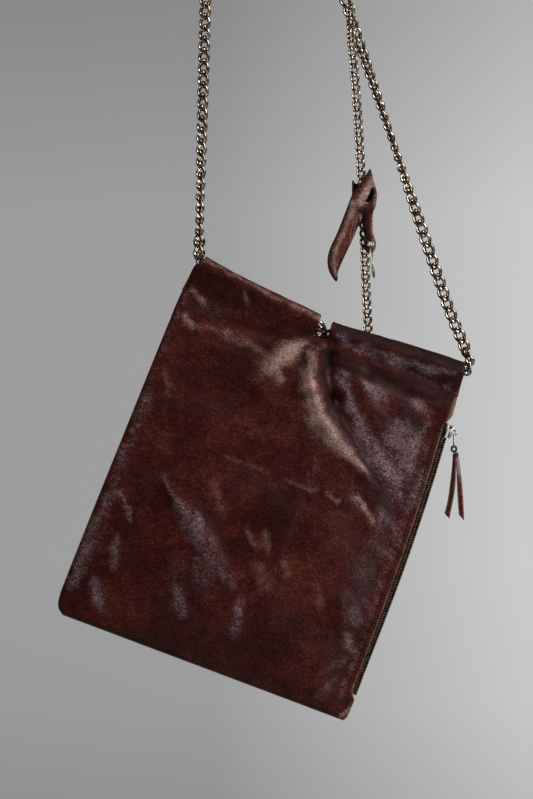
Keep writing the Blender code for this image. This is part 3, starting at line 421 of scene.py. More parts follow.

# What is painted on the front leather: glow is a painted warm highlight, gloss a painted cool
# highlight, rust is lighter leather and deep is painted shade in valleys, creases and dark bands.
# Each mark runs from one point to another, in shares of BAG_WIDTH across and BAG_HEIGHT down,
# with its half width as a share of BAG_WIDTH, how strongly it shows and, where it has one, its
# height in millimetres, a valley's below zero
Mark = namedtuple(
    "Mark", "across down to_across to_down half_width strength height", defaults=(0.0,)
)
MARKS = {
    # Painted warm highlights
    "painted_glow": [
        Mark(0.505, 0.615, 0.525, 0.645, 0.012, 0.15, 0.2),
        Mark(0.595, 0.665, 0.620, 0.700, 0.014, 0.13, 0.2),
        Mark(0.398, 0.124, 0.363, 0.165, 0.019, 0.55, 0.5),
        Mark(0.377, 0.150, 0.335, 0.207, 0.026, 0.80, 0.9),
        Mark(0.347, 0.204, 0.377, 0.225, 0.014, 0.50, 0.3),
        Mark(0.021, 0.008, 0.127, 0.014, 0.006, 0.20, 0.2),
        Mark(0.127, 0.014, 0.238, 0.031, 0.006, 0.25, 0.3),
        Mark(0.238, 0.031, 0.339, 0.039, 0.007, 0.18, 0.2),
        Mark(0.339, 0.039, 0.426, 0.041, 0.007, 0.28, 0.3),
        Mark(0.007, 0.090, 0.056, 0.105, 0.010, 0.32, 0.5),
        Mark(0.019, 0.159, 0.055, 0.178, 0.010, 0.50, 0.6),
        Mark(0.061, 0.172, 0.171, 0.165, 0.011, 0.12, 0.2),
        Mark(0.172, 0.166, 0.285, 0.175, 0.013, 0.20, 0.4),
        Mark(0.285, 0.176, 0.330, 0.180, 0.011, 0.12, 0.2),
        Mark(0.302, 0.462, 0.447, 0.463, 0.006, 0.10, 0.2),
        Mark(0.504, 0.468, 0.612, 0.463, 0.006, 0.13, 0.2),
        Mark(0.646, 0.461, 0.684, 0.469, 0.008, 0.28, 0.3),
        Mark(0.736, 0.447, 0.769, 0.460, 0.012, 0.42, 0.5),
        Mark(0.769, 0.460, 0.815, 0.485, 0.010, 0.32, 0.4),
        Mark(0.522, 0.699, 0.568, 0.738, 0.019, 0.14, 0.3),
        Mark(0.441, 0.621, 0.483, 0.644, 0.008, 0.18, 0.2),
        Mark(0.303, 0.540, 0.349, 0.593, 0.013, 0.10, 0.2),
        Mark(0.715, 0.699, 0.751, 0.732, 0.011, 0.08, 0.2),
        Mark(0.022, 0.315, 0.062, 0.368, 0.008, 0.12, 0.2),
        Mark(0.975, 0.935, 0.945, 0.992, 0.007, 0.55, 0.2),
        Mark(0.442, 0.135, 0.474, 0.222, 0.012, 0.88, 0.4),
        Mark(0.476, 0.225, 0.508, 0.254, 0.019, 0.85, 0.4),
        Mark(0.504, 0.257, 0.536, 0.286, 0.024, 0.85, 0.4),
        Mark(0.530, 0.288, 0.588, 0.320, 0.026, 0.90, 0.4),
        Mark(0.596, 0.323, 0.664, 0.347, 0.020, 0.80, 0.3),
        Mark(0.668, 0.350, 0.720, 0.368, 0.013, 0.55, 0.2),
        Mark(0.441, 0.185, 0.458, 0.222, 0.014, 0.35, 0.2),
    ],
    "rust": [
        Mark(0.489, 0.642, 0.534, 0.659, 0.013, 1.00),
        Mark(0.299, 0.547, 0.354, 0.597, 0.013, 0.60),
        Mark(0.465, 0.488, 0.517, 0.481, 0.010, 0.60),
        Mark(0.608, 0.514, 0.735, 0.490, 0.010, 0.50),
        Mark(0.622, 0.655, 0.645, 0.681, 0.026, 0.50),
        Mark(0.723, 0.702, 0.756, 0.742, 0.016, 0.50),
        Mark(0.734, 0.843, 0.772, 0.865, 0.023, 0.45),
        Mark(0.303, 0.362, 0.462, 0.369, 0.029, 0.50),
        Mark(0.022, 0.313, 0.106, 0.355, 0.023, 0.45),
        Mark(0.470, 0.728, 0.482, 0.731, 0.013, 0.50),
        Mark(0.438, 0.488, 0.394, 0.557, 0.026, 0.40),
        Mark(0.054, 0.493, 0.126, 0.499, 0.029, 0.35),
        Mark(0.711, 0.572, 0.825, 0.593, 0.032, 0.35),
        Mark(0.095, 0.174, 0.172, 0.193, 0.026, 0.35),
        Mark(0.921, 0.564, 0.918, 0.704, 0.016, 0.50),
        Mark(0.934, 0.783, 0.937, 0.893, 0.013, 0.50),
        Mark(0.480, 0.628, 0.520, 0.652, 0.010, 0.90),
    ],
    # Painted cool highlights
    "painted_sheen": [
        Mark(0.173, 0.045, 0.189, 0.073, 0.010, 0.40, 0.3),
        Mark(0.913, 0.310, 0.915, 0.432, 0.013, 0.40, 0.3),
        Mark(0.145, 0.583, 0.200, 0.612, 0.010, 0.26, 0.4),
        Mark(0.200, 0.612, 0.250, 0.643, 0.018, 0.48, 0.6),
        Mark(0.250, 0.643, 0.318, 0.690, 0.023, 0.62, 0.8),
        Mark(0.318, 0.690, 0.372, 0.725, 0.023, 0.42, 0.6),
        Mark(0.372, 0.725, 0.430, 0.752, 0.023, 0.36, 0.5),
        Mark(0.430, 0.752, 0.478, 0.772, 0.016, 0.22, 0.3),
        Mark(0.341, 0.740, 0.393, 0.808, 0.032, 0.18),
        Mark(-0.016, 0.536, -0.010, 0.601, 0.016, 0.34, 0.3),
        Mark(-0.007, 0.645, -0.008, 0.701, 0.019, 0.26, 0.3),
        Mark(-0.012, 0.722, -0.019, 0.782, 0.019, 0.32, 0.3),
        Mark(-0.017, 0.771, -0.021, 0.850, 0.023, 0.34, 0.3),
        Mark(-0.021, 0.850, -0.020, 0.927, 0.023, 0.36, 0.4),
        Mark(-0.004, 0.644, 0.043, 0.663, 0.008, 0.40, 0.3),
        Mark(0.043, 0.663, 0.090, 0.705, 0.010, 0.45, 0.4),
        Mark(0.065, 0.754, 0.090, 0.838, 0.016, 0.36, 0.5),
        Mark(0.045, 0.880, 0.098, 0.945, 0.019, 0.52, 0.5),
        Mark(0.300, 0.825, 0.352, 0.885, 0.018, 0.50, 0.5),
        Mark(0.506, 0.790, 0.525, 0.890, 0.016, 0.38, 0.5),
        Mark(0.269, 0.748, 0.300, 0.830, 0.026, 0.10),
        Mark(0.822, 0.455, 0.889, 0.487, 0.019, 0.22, 0.3),
        Mark(0.885, 0.486, 0.930, 0.522, 0.016, 0.22, 0.3),
        Mark(0.865, 0.547, 0.924, 0.569, 0.023, 0.16, 0.3),
        Mark(0.846, 0.698, 0.885, 0.753, 0.016, 0.28, 0.5),
        Mark(0.880, 0.682, 0.923, 0.716, 0.013, 0.15, 0.2),
        Mark(0.866, 0.792, 0.911, 0.823, 0.016, 0.32, 0.5),
        Mark(0.857, 0.884, 0.894, 0.845, 0.013, 0.18, 0.2),
        Mark(0.843, 0.966, 0.874, 0.915, 0.013, 0.20, 0.4),
        Mark(0.910, 0.962, 0.921, 0.926, 0.010, 0.25, 0.3),
        Mark(0.794, 0.602, 0.895, 0.655, 0.032, 0.08),
        Mark(-0.001, 0.376, -0.008, 0.450, 0.019, 0.24, 0.2),
        Mark(0.640, 0.158, 0.715, 0.182, 0.018, 0.55, 0.3),
        Mark(0.800, 0.163, 0.850, 0.166, 0.016, 0.38, 0.2),
        Mark(0.862, 0.200, 0.876, 0.290, 0.014, 0.36, 0.2),
        Mark(0.775, 0.222, 0.832, 0.240, 0.020, 0.48, 0.3),
        Mark(0.745, 0.262, 0.790, 0.285, 0.018, 0.42, 0.3),
        Mark(0.770, 0.342, 0.850, 0.372, 0.024, 0.50, 0.3),
        Mark(0.830, 0.385, 0.880, 0.404, 0.020, 0.25, 0.2),
        Mark(0.830, 0.262, 0.868, 0.278, 0.016, 0.42, 0.2),
        Mark(0.840, 0.300, 0.885, 0.345, 0.030, 0.26),
        Mark(0.700, 0.290, 0.850, 0.340, 0.045, 0.26),
        Mark(0.876, 0.360, 0.900, 0.430, 0.022, 0.10),
        Mark(0.500, 0.070, 0.560, 0.080, 0.012, 0.75, 0.2),
        Mark(0.560, 0.078, 0.660, 0.076, 0.013, 0.70, 0.2),
        Mark(0.660, 0.072, 0.760, 0.072, 0.014, 0.95, 0.2),
        Mark(0.740, 0.068, 0.850, 0.064, 0.010, 0.95, 0.2),
        Mark(0.850, 0.058, 0.900, 0.050, 0.009, 0.60, 0.2),
        Mark(0.880, 0.086, 0.900, 0.092, 0.010, 0.55, 0.2),
        Mark(0.055, 0.112, 0.130, 0.126, 0.018, 0.14, 0.1),
        Mark(0.272, 0.622, 0.304, 0.664, 0.013, 0.45, 0.4),
        Mark(0.408, 0.734, 0.428, 0.756, 0.012, 0.40, 0.4),
        Mark(0.545, 0.152, 0.598, 0.200, 0.017, 0.75, 0.3),
        Mark(0.600, 0.202, 0.638, 0.246, 0.017, 0.80, 0.3),
        Mark(0.642, 0.250, 0.704, 0.296, 0.020, 0.75, 0.3),
        Mark(0.710, 0.300, 0.800, 0.345, 0.022, 0.68, 0.3),
        Mark(0.850, 0.240, 0.872, 0.330, 0.016, 0.40, 0.2),
    ],
    # Painted shade in valleys, creases and dark bands under the hem
    "deep": [
        Mark(0.801, 0.172, 0.841, 0.221, 0.013, 0.50, -0.3),
        Mark(0.425, 0.135, 0.432, 0.217, 0.013, 0.50, -0.3),
        Mark(0.853, 0.685, 0.916, 0.613, 0.010, 0.50, -0.4),
        Mark(0.863, 0.787, 0.907, 0.755, 0.008, 0.50, -0.4),
        Mark(0.341, 0.629, 0.421, 0.704, 0.013, 0.40, -0.4),
        Mark(0.261, 0.597, 0.338, 0.629, 0.013, 0.40, -0.3),
        Mark(0.371, 0.508, 0.575, 0.502, 0.039, 0.35),
        Mark(0.235, 0.883, 0.523, 0.907, 0.045, 0.35),
        Mark(0.609, 0.798, 0.825, 0.816, 0.039, 0.30),
        Mark(0.020, 0.125, 0.112, 0.136, 0.010, 0.50, -0.3),
        Mark(0.075, 0.197, 0.291, 0.187, 0.013, 0.35, -0.2),
        Mark(0.099, 0.368, 0.261, 0.347, 0.026, 0.30),
        Mark(0.520, 0.136, 0.650, 0.140, 0.018, 0.90),
        Mark(0.780, 0.136, 0.900, 0.124, 0.016, 0.80),
        Mark(0.680, 0.214, 0.735, 0.228, 0.018, 0.85, -0.3),
        Mark(0.745, 0.168, 0.790, 0.172, 0.012, 0.70, -0.2),
        Mark(0.800, 0.192, 0.830, 0.205, 0.012, 0.60, -0.2),
        Mark(0.500, 0.034, 0.900, 0.022, 0.026, 0.95),
        Mark(0.500, 0.052, 0.560, 0.052, 0.010, 0.60),
        Mark(0.640, 0.094, 0.800, 0.086, 0.006, 0.50, -0.3),
        Mark(0.500, 0.112, 0.900, 0.108, 0.012, 0.70),
        Mark(0.492, 0.126, 0.500, 0.172, 0.014, 0.95, -0.8),
        Mark(0.502, 0.176, 0.545, 0.218, 0.009, 0.92, -0.6),
        Mark(0.547, 0.220, 0.585, 0.250, 0.009, 0.92, -0.6),
        Mark(0.587, 0.252, 0.622, 0.281, 0.009, 0.92, -0.6),
        Mark(0.624, 0.283, 0.700, 0.330, 0.009, 0.90, -0.5),
        Mark(0.702, 0.331, 0.795, 0.388, 0.011, 0.88, -0.4),
        Mark(0.504, 0.214, 0.530, 0.236, 0.010, 0.40, -0.3),
        Mark(0.548, 0.245, 0.596, 0.284, 0.011, 0.40, -0.3),
        Mark(0.600, 0.292, 0.690, 0.338, 0.012, 0.45, -0.2),
        Mark(0.650, 0.129, 0.780, 0.142, 0.020, 0.75, -0.4),
        Mark(0.780, 0.142, 0.860, 0.138, 0.015, 0.60, -0.4),
        Mark(0.440, 0.106, 0.478, 0.110, 0.010, 0.60),
        Mark(0.420, 0.135, 0.450, 0.132, 0.010, 0.50),
        Mark(0.130, 0.134, 0.290, 0.140, 0.012, 0.30),
        Mark(0.352, 0.650, 0.372, 0.676, 0.012, 0.40, -0.2),
        Mark(0.700, 0.500, 0.790, 0.560, 0.040, 0.25),
        Mark(0.790, 0.682, 0.850, 0.702, 0.020, 0.50),
        Mark(0.820, 0.420, 0.860, 0.450, 0.020, 0.50),
        Mark(0.860, 0.600, 0.880, 0.720, 0.030, 0.30),
        Mark(0.860, 0.880, 0.900, 0.960, 0.040, 0.35),
    ],
}

# Where the edges are drawn up into short folds that run in from the edge: the side, from how far
# down to how far, in shares of BAG_HEIGHT, how far in from the edge they start and end and how
# high they are, in metres
Gather = namedtuple("Gather", "side down to_down start reach height")
GATHERS = [
    Gather("right", 0.12, 0.24, 0.010, 0.020, 0.00020),
    Gather("right", 0.22, 0.68, 0.005, 0.015, 0.00045),
    Gather("right", 0.64, 0.95, 0.005, 0.012, 0.00030),
    Gather("left", 0.36, 0.66, 0.002, 0.014, 0.00040),
    Gather("left", 0.62, 0.93, 0.002, 0.018, 0.00025),
    Gather("left", 0.06, 0.38, 0.002, 0.008, 0.00015),
]

# The room's brightness by what it lights and as the camera sees it
WORLD_LIGHT = 0.06
WORLD_SEEN = 0.45

# The lamps: where each stands, its width and height, its power and its colour
Lamp = namedtuple("Lamp", "name place width height power shade")
LAMPS = [
    Lamp("window", (1.70, -0.90, -0.20), 0.7, 1.5, 36.0, (0.95, 0.96, 1.0)),
    Lamp("lamp", (-1.00, -1.00, 0.95), 0.6, 0.6, 20.0, (1.0, 0.93, 0.88)),
]
LAMP_TARGET = Vector((0.03, 0.0, -0.68))

# The camera, the wall behind and the floor
CAMERA_PLACE = (0.0367, -2.0, -0.64147)
CAMERA_LENS = 102.6
WALL_PLACE = (0.0367, 5.0, -0.64)
WALL_SIZE = (4.0, 2.6, 1.0)
FLOOR_PLACE = (0.0, 0.0, -1.92)
FLOOR_SIZE = 16.0


def smoothstep(share):
    share = np.clip(share, 0.0, 1.0)
    return share * share * (3 - 2 * share)


def read_table(table, key, value, place):
    """A smooth curve through a table's rows, read at places along its key column."""
    keys = np.array([getattr(row, key) for row in table])
    values = np.array([getattr(row, value) for row in table])
    place = np.clip(place, keys[0], keys[-1])
    last = len(keys) - 1
    i = np.clip(np.searchsorted(keys, place) - 1, 0, last - 1)
    before, after = np.maximum(0, i - 1), np.minimum(last, i + 2)
    span = keys[i + 1] - keys[i]
    t = (place - keys[i]) / span
    slope_in = (values[i + 1] - values[before]) / (keys[i + 1] - keys[before])
    slope_out = (values[after] - values[i]) / (keys[after] - keys[i])
    return (
        values[i] * (2 * t**3 - 3 * t**2 + 1)
        + values[i + 1] * (3 * t**2 - 2 * t**3)
        + span * slope_in * (t**3 - 2 * t**2 + t)
        + span * slope_out * (t**3 - t**2)
    )


def curve_point(a, b, c, d, t):
    """A place on the smooth curve from b to c that comes from a and goes on to d."""
    return 0.5 * (
        2 * b + (c - a) * t + (2 * a - 5 * b + 4 * c - d) * t**2 + (3 * b - a - 3 * c + d) * t**3
    )


def bag_point(across, down, depth):
    """A point of the bag, with its distances across, down and in front of its mid plane."""
    return BAG_CORNER + ACROSS * across + DOWN * down + Vector((0.0, -depth, 0.0))


def edge(side, down):
    return BAG_WIDTH * read_table(OUTLINE, "down", side, down / BAG_HEIGHT)


def panel_edges(down, short):
    """The left and right edges of one panel at a distance down."""
    stop = ZIP_FRAME * read_table(OUTLINE, "down", short, down / BAG_HEIGHT)
    return edge("left", down), edge("right", down) - np.maximum(0.0, stop)


def ridge_down(share):
    return HEM_HEIGHT * read_table(HEM, "across", "ridge", share)


def seam_down(share):
    return HEM_HEIGHT * read_table(HEM, "across", "seam", share)


def mouth_half(share):
    """Half of the bag's mouth, which opens between the hems towards the middle."""
    return CLEARANCE / 2 + MOUTH_GAP / 2 * np.sin(math.pi * share).clip(0) ** MOUTH_ROUNDNESS


def ridge_depth(share):
    """How far the middle of a hem's ridge lies from the bag's mid plane."""
    return HEM_RADIUS + mouth_half(share)


def seam_depth(share):
    """How far the outside of the hem's seam lies from the bag's mid plane."""
    ends = HEM_FOLDED + CLEARANCE
    middle = ridge_depth(share) + HEM_FOLDED / 2
    return ends + (middle - ends) * np.sin(math.pi * share).clip(0) ** SEAM_ROUNDNESS


def rounding(distance):
    """From 0 at a turned edge to 1 where its rounding ends."""
    inside = 1 - np.clip(distance / EDGE_ROUND, 0.0, 1.0)
    return np.sqrt(1 - inside * inside)


def near_segment(x, y, start, stop, half_width, power=2, taper=0.0):
    """How near places are to a straight line: 1 on it, falling smoothly to 0, less at its ends."""
    start, run = np.array(start), np.array(stop) - np.array(start)
    x, y = x - start[0], y - start[1]
    along = np.clip((x * run[0] + y * run[1]) / max(1e-12, run @ run), 0.0, 1.0)
    away = np.hypot(x - run[0] * along, y - run[1] * along) / half_width
    full = 1 - taper * np.abs(2 * along - 1)**3
    return full * np.exp(-(away / full)**power)


def near_line(row, across, down, power=2, taper=0.0):
    """The same, for the line of a table's row on the bag."""
    start = (row.across * BAG_WIDTH, row.down * BAG_HEIGHT)
    stop = (row.to_across * BAG_WIDTH, row.to_down * BAG_HEIGHT)
    return near_segment(across, down, start, stop, row.half_width * BAG_WIDTH, power, taper)


def fold_height(folds, across, down):
    total = 0.0
    for fold in folds:
        total = total + fold.height * BAG_DEPTH * near_line(fold, across, down)
    return total


def below_zip():
    """How far above the bottom edge the panels start to close below the zip."""
    return ZIP_END - ZIP_LAP / 4


def half_depth(share, across, down, left, folds):
    """How far a panel's outside lies from the bag's mid plane."""
    seam = seam_down(share)
    below = np.clip((down - seam) / (BAG_HEIGHT - seam), 0.0, 1.0)
    from_left = across - left
    from_bottom = BAG_HEIGHT - down
    turned = CLEARANCE / 2 + EDGE_ROUND * rounding(from_left) * rounding(from_bottom)
    full = BAG_DEPTH / 2 - EDGE_ROUND
    swell = full * read_table(SWELL, "down", "full", below)
    arch_share = math.pi * (1 - ZIP_FRAME / BAG_WIDTH) * share
    swell = swell * np.sin(arch_share).clip(0) ** SWELL_ROUNDNESS
    swell = swell * smoothstep(from_bottom / (3 * EDGE_ROUND))
    mouth = seam_depth(share) - turned - swell
    past_hem = np.maximum(0.0, down - seam - 1.3 * HEM_TURN_IN)
    fade = HEM_FADE + HEM_FADE_MIDDLE * smoothstep(3 * share)
    depth = turned + swell + mouth * (1 - smoothstep(past_hem / fade))
    to_right = smoothstep((share - SIDE_START) / SIDE_CHANGE)
    open_zip = smoothstep((from_bottom - EDGE_ROUND) / (below_zip() - EDGE_ROUND))
    side = ZIP_HALF_DEPTH * open_zip
    side = np.maximum(side, (LEATHER + CLEARANCE / 2) * rounding(from_bottom) + CLEARANCE / 2)
    depth = depth + (side - depth) * to_right
    calm = smoothstep(from_left / CALM_EDGE) * smoothstep(from_bottom / CALM_EDGE) * (1 - to_right)
    calm = calm * smoothstep((down - seam) / CALM_SEAM)
    return depth + calm * fold_height(folds, across, down)


def panel_shares(count):
    """The shares across at which a panel is divided, and which lie inside the notch."""
    width = float(edge("right", 0.0) - edge("left", 0.0))
    half_notch = NOTCH_WIDTH / width / 2
    left, right = NOTCH_PLACE - half_notch, NOTCH_PLACE + half_notch
    rounded = [place * EDGE_ROUND / BAG_WIDTH for place in ROUNDING_PLACES]
    side = round(count * (left - rounded[-1]))
    inner = max(2, round(count * (right - left)))
    other = count - side - inner
    shares = np.concatenate([
        [0.0],
        rounded[:-1],
        np.linspace(rounded[-1], left, side + 1),
        np.linspace(left, right, inner + 1)[1:],
        np.linspace(right, 1.0, other + 1)[1:],
    ])
    middle = (shares[:-1] + shares[1:]) / 2
    return shares, (middle > left) & (middle < right)


def hem_profile(share, outside):
    """The distances down and depths along a panel, from the hem's inner end over its ridge."""
    ridge, seam = ridge_down(share), seam_down(share)
    middle = ridge_depth(share)
    centre = ridge + HEM_RADIUS
    inner_seam = seam_depth(share) - HEM_FOLDED
    waist = seam + WAIST * (centre + HEM_RADIUS / 3 - seam)
    inner_waist = inner_seam + WAIST * (middle - HEM_RADIUS - inner_seam)
    outer_waist = seam_depth(share) + WAIST * (middle + HEM_RADIUS - seam_depth(share))
    hem_end = seam + HEM_TURN_IN
    points = [
        (hem_end, outside(hem_end) - HEM_FOLDED),
        (seam, outside(seam) - HEM_FOLDED),
        (waist, inner_waist),
    ]
    for step in range(RIDGE_STEPS + 1):
        angle = math.radians(RIDGE_START - RIDGE_TURN * step / RIDGE_STEPS)
        points.append((
            centre - HEM_RADIUS * math.sin(angle),
            middle + HEM_RADIUS * math.cos(angle),
        ))
    points += [(waist, outer_waist), (seam, outside(seam)), (seam + 0.002, outside(seam + 0.002))]
    return np.array(points)


def split_profile(points, splits):
    """A smooth curve through the points, up to the last but one, with more points between."""
    made = []
    for i in range(len(points) - 2):
        a, b, c, d = points[max(0, i - 1)], points[i], points[i + 1], points[i + 2]
        made += [curve_point(a, b, c, d, n / splits) for n in range(splits)]
    made.append(points[-2])
    return np.array(made)


def paint(kind, across, down):
    """How strongly one kind of mark shows at each place, from 0 to 1."""
    clear = np.ones(across.shape)
    taper = MARK_TAPER if kind == "painted_sheen" else 0.0
    for mark in MARKS[kind]:
        clear = clear * (1 - mark.strength * near_line(mark, across, down, MARK_EDGE, taper))
    return 1 - clear


def mark_height(across, down):
    """The small ridges and valleys that the marks show."""
    total = np.zeros(across.shape)
    for kind in MARKS:
        for mark in MARKS[kind]:
            if mark.height:
                total = total + 0.001 * mark.height * near_line(mark, across, down)
    return total


def gather_share(across, down, left, right):
    """How strongly the leather is gathered at each place, and the folds' height there."""
    share, height = 0.0, 0.0
    for row in GATHERS:
        inward = across - left if row.side == "left" else right - across
        middle, half = (row.start + row.reach) / 2, (row.reach - row.start) / 2
        near = smoothstep(1.6 * (1 - np.abs(inward - middle) / half))
        ends = smoothstep((down / BAG_HEIGHT - row.down) / 0.05)
        ends = ends * smoothstep((row.to_down - down / BAG_HEIGHT) / 0.05)
        share = np.maximum(share, near * ends)
        height = np.maximum(height, near * ends * row.height)
    return share, height


def noise_field(across, along, size, octaves=2):
    """Smooth noise over places of a leather, with features of about a size in metres."""
    flat = zip((across / size).ravel(), (along / size).ravel())
    values = [noise.fractal(Vector((x, y, 3.7)), 1.0, 2.0, octaves) for x, y in flat]
    return np.array(values).reshape(across.shape)


def make_leather(name, facing, short, columns, rows, folds, materials):
    """One leather of the bag: a sheet that is turned over at the top, given its thickness."""
    shares, in_notch = panel_shares(columns)

    def outside(down):
        left, right = panel_edges(down, short)
        return half_depth(shares, left + shares * (right - left), down, left, folds)

    profile = split_profile(hem_profile(shares, outside), HEM_SPLITS)
    seam = seam_down(shares)
    height = BAG_HEIGHT - seam
    last = ROUNDING_PLACES[-1] * EDGE_ROUND / (BAG_HEIGHT - HEM_HEIGHT)
    body = list(np.linspace(0.0, 1.0 - last, rows)[1:])
    body += [1 - p * EDGE_ROUND / (BAG_HEIGHT - HEM_HEIGHT) for p in ROUNDING_PLACES[-2::-1]]
    body.append(1.0)
    body = np.array([(seam + row * height, outside(seam + row * height)) for row in body])
    profile = np.concatenate([profile, body])
    hem_rows = len(profile) - len(body) - 1
    down, depth = profile[:, 0], profile[:, 1]
    left, right = panel_edges(down, short)
    across = left + shares * (right - left)
    steps = np.hypot(np.diff(down, axis=0), np.diff(depth, axis=0))
    along = np.concatenate([np.zeros((1, len(shares))), np.cumsum(steps, axis=0)])
    along = along - along[hem_rows] + seam
    base = np.array(BAG_CORNER)
    points = (
        base
        + across[..., None] * np.array(ACROSS)
        + down[..., None] * np.array(DOWN)
        + (facing * depth)[..., None] * np.array((0.0, -1.0, 0.0))
    )
    by_row = np.gradient(points, axis=0)
    by_column = np.gradient(points, axis=1)
    normals = np.cross(by_row, by_column) * facing
    normals /= np.linalg.norm(normals, axis=2, keepdims=True).clip(1e-12)
    calm = smoothstep((across - left) / RELIEF_RIM) * smoothstep((right - across) / RELIEF_RIM)
    calm = calm * smoothstep((BAG_HEIGHT - down) / RELIEF_RIM)
    calm = calm * smoothstep((along - along[2 * HEM_SPLITS]) / RELIEF_HEM)
    crumple = sum(height * noise_field(across, along, size) for height, size in CRUMPLES)
    stray_across = across + MARK_STRAY * noise_field(across, along + 1.0, MARK_STRAY_SIZE)
    stray_down = down + MARK_STRAY * noise_field(across + 1.0, along, MARK_STRAY_SIZE)
    gathered, gather_height = gather_share(across, down, left, right)
    draw = noise_field(0.3 * across + 0.1 * down, down, GATHER_SPACING, 2)
    crumple = crumple + gather_height * (1 - 2.2 * np.abs(draw))
    if facing > 0:
        crumple = crumple + mark_height(stray_across, stray_down)
    points = points + normals * (calm * crumple)[..., None]
    count = len(profile)
    index = np.arange(count * len(shares)).reshape(count, len(shares)).tolist()
    faces = []
    for j in range(count - 1):
        for i in range(len(shares) - 1):
            if in_notch[i] and j < hem_rows:
                continue
            face = (index[j][i], index[j + 1][i], index[j + 1][i + 1], index[j][i + 1])
            faces.append(face if facing > 0 else face[::-1])
    leather = new_mesh(name, points.reshape(-1, 3), faces, *materials)
    # A painted cool highlight on the crests of the gathers
    values = {"gather_highlight": gathered * np.clip(0.45 - 1.6 * np.abs(draw), 0.0, 1.0)}
    for kind in MARK_KINDS:
        shown = paint(kind, stray_across, stray_down) if facing > 0 else np.zeros(across.shape)
        values[kind] = shown
    beside_zip = smoothstep((down - ZIP_START) / 0.01)
    strip = smoothstep((right - across) / 0.0008) * smoothstep((0.0048 - right + across) / 0.0012)
    values["rust"] = np.maximum(values["rust"], 0.40 * strip * beside_zip)
    # Painted highlight: a thin light line along the zip edge and the bottom edge
    rim = smoothstep((0.0011 - right + across) / 0.0005) * beside_zip
    rim = np.maximum(rim, smoothstep((down - BAG_HEIGHT + 0.0016) / 0.0008))
    values["painted_glow"] = np.maximum(values["painted_glow"], 0.30 * rim)
    add_paint(leather.data, across - 0.5 * BAG_WIDTH * (1 - facing), along, values)
    thicken(leather, LEATHER)
    for vert in leather.data.vertices:
        if facing * vert.co.y > -CLEARANCE / 2:
            vert.co.y = -facing * CLEARANCE / 2
    leather.data.shade_smooth()
    return leather


def apply_modifiers(item):
    """Turns an object's evaluated shape into its own mesh."""
    bpy.context.view_layer.update()
    evaluated = item.evaluated_get(bpy.context.evaluated_depsgraph_get())
    mesh = bpy.data.meshes.new_from_object(evaluated)
    item.modifiers.clear()
    item.data = mesh


# Routes, as in the frame's own source


def fillet(corners, radii):
    """A route through corner points, with an arc of its own radius at each corner between."""
    route = [corners[0]]
    for before, corner, after, radius in zip(corners, corners[1:], corners[2:], radii):
        come, go = (corner - before).normalized(), (after - corner).normalized()
        turn = come.angle(go)
        steps = max(1, math.ceil(turn / ARC_STEP))
        if turn < LEAST_TURN:
            route.append(corner)
            continue
        cut = radius * math.tan(turn / 2)
        inward = (go - come).normalized()
        centre = corner + inward * (radius / math.cos(turn / 2))
        start = corner - come * cut - centre
        axis = come.cross(go).normalized()
        for step in range(steps + 1):
            route.append(centre + Matrix.Rotation(turn * step / steps, 3, axis) @ start)
    return route + [corners[-1]]


def hem_chain_point(place, facing):
    """The middle of a hem's tunnel at a distance across from the top left corner."""
    left, right = edge("left", HEM_RADIUS), edge("right", HEM_RADIUS)
    share = min(1.0, max(0.0, float((place - left) / (right - left))))
    depth = float(ridge_depth(share))
    dip = math.exp(-(((place - notch_middle()) / NOTCH_WIDTH) ** 2))
    dip *= FRONT_CHAIN_DIP if facing > 0 else BACK_CHAIN_DIP
    return bag_point(place, float(ridge_down(share)) + HEM_RADIUS + dip, facing * depth)


def hem_places(start, stop):
    count = max(2, round(2 * abs(stop - start) / STRAP_CHAIN))
    return [start + (stop - start) * n / count for n in range(count + 1)]


def notch_middle():
    left, right = float(edge("left", HEM_RADIUS)), float(edge("right", HEM_RADIUS))
    return left + NOTCH_PLACE * (right - left)


def strap_turns():
    """The corner points of the strap's centre line at the two ends of the front hem."""
    left = hem_chain_point(0.0, 1)
    ridge = float(ridge_down(1.0))
    far = float(edge("right", ridge))
    right = bag_point(far + STRAP_TURN_OUT, ridge + HEM_RADIUS, float(ridge_depth(1.0)))
    return left, right


def strand_corners(turn, side):
    """A strand's corner points above its turn: the right one hangs a little slack."""
    touch, _ = touch_point(turn, side)
    if side < 0:
        return [touch]
    return [touch, turn + slack()]


def slack():
    return Vector((STRAND_SLACK_ASIDE, 0.0, STRAND_SLACK_RISE))


def hook_centre():
    return Vector((0.0, 0.0, -HOOK_RADIUS))


def touch_point(turn, side):
    """Where a strand leaves its bend over the hook, on the way to its turn at a hem."""
    centre = hook_centre()
    radius = HOOK_RADIUS + STRAP_CHAIN / 2
    away = turn - centre if side < 0 else turn + slack() - centre
    reach = math.sqrt(away.x**2 + away.z**2)
    angle = math.atan2(away.z, away.x) + side * math.acos(radius / reach)
    return centre + Vector((radius * math.cos(angle), 0.0, radius * math.sin(angle))), angle


def strand_route(turn, side):
    """A strand's bend over the hook, from its top, and the point where the strand leaves it."""
    touch, angle = touch_point(turn, side)
    radius = HOOK_RADIUS + STRAP_CHAIN / 2
    if side < 0 and angle < 0:
        angle += 2 * math.pi
    arc = []
    for step in range(HOOK_STEPS):
        here = math.pi / 2 + (angle - math.pi / 2) * step / HOOK_STEPS
        arc.append(hook_centre() + Vector((radius * math.cos(here), 0.0, radius * math.sin(here))))
    return arc, touch


def strap_half(turn, side, first):
    """One half of the strap, from the hook down to a hem and in to the middle of the notch."""
    arc, touch = strand_route(turn, side)
    inside = [hem_chain_point(place, 1) for place in hem_places(first, notch_middle())]
    corners = strand_corners(turn, side)
    rounds = [STRAND_SLACK_ROUND] * (len(corners) - 1) + [HEM_CHAIN_BEND]
    return arc + fillet([*corners, turn, inside[0]], rounds)[:-1] + inside


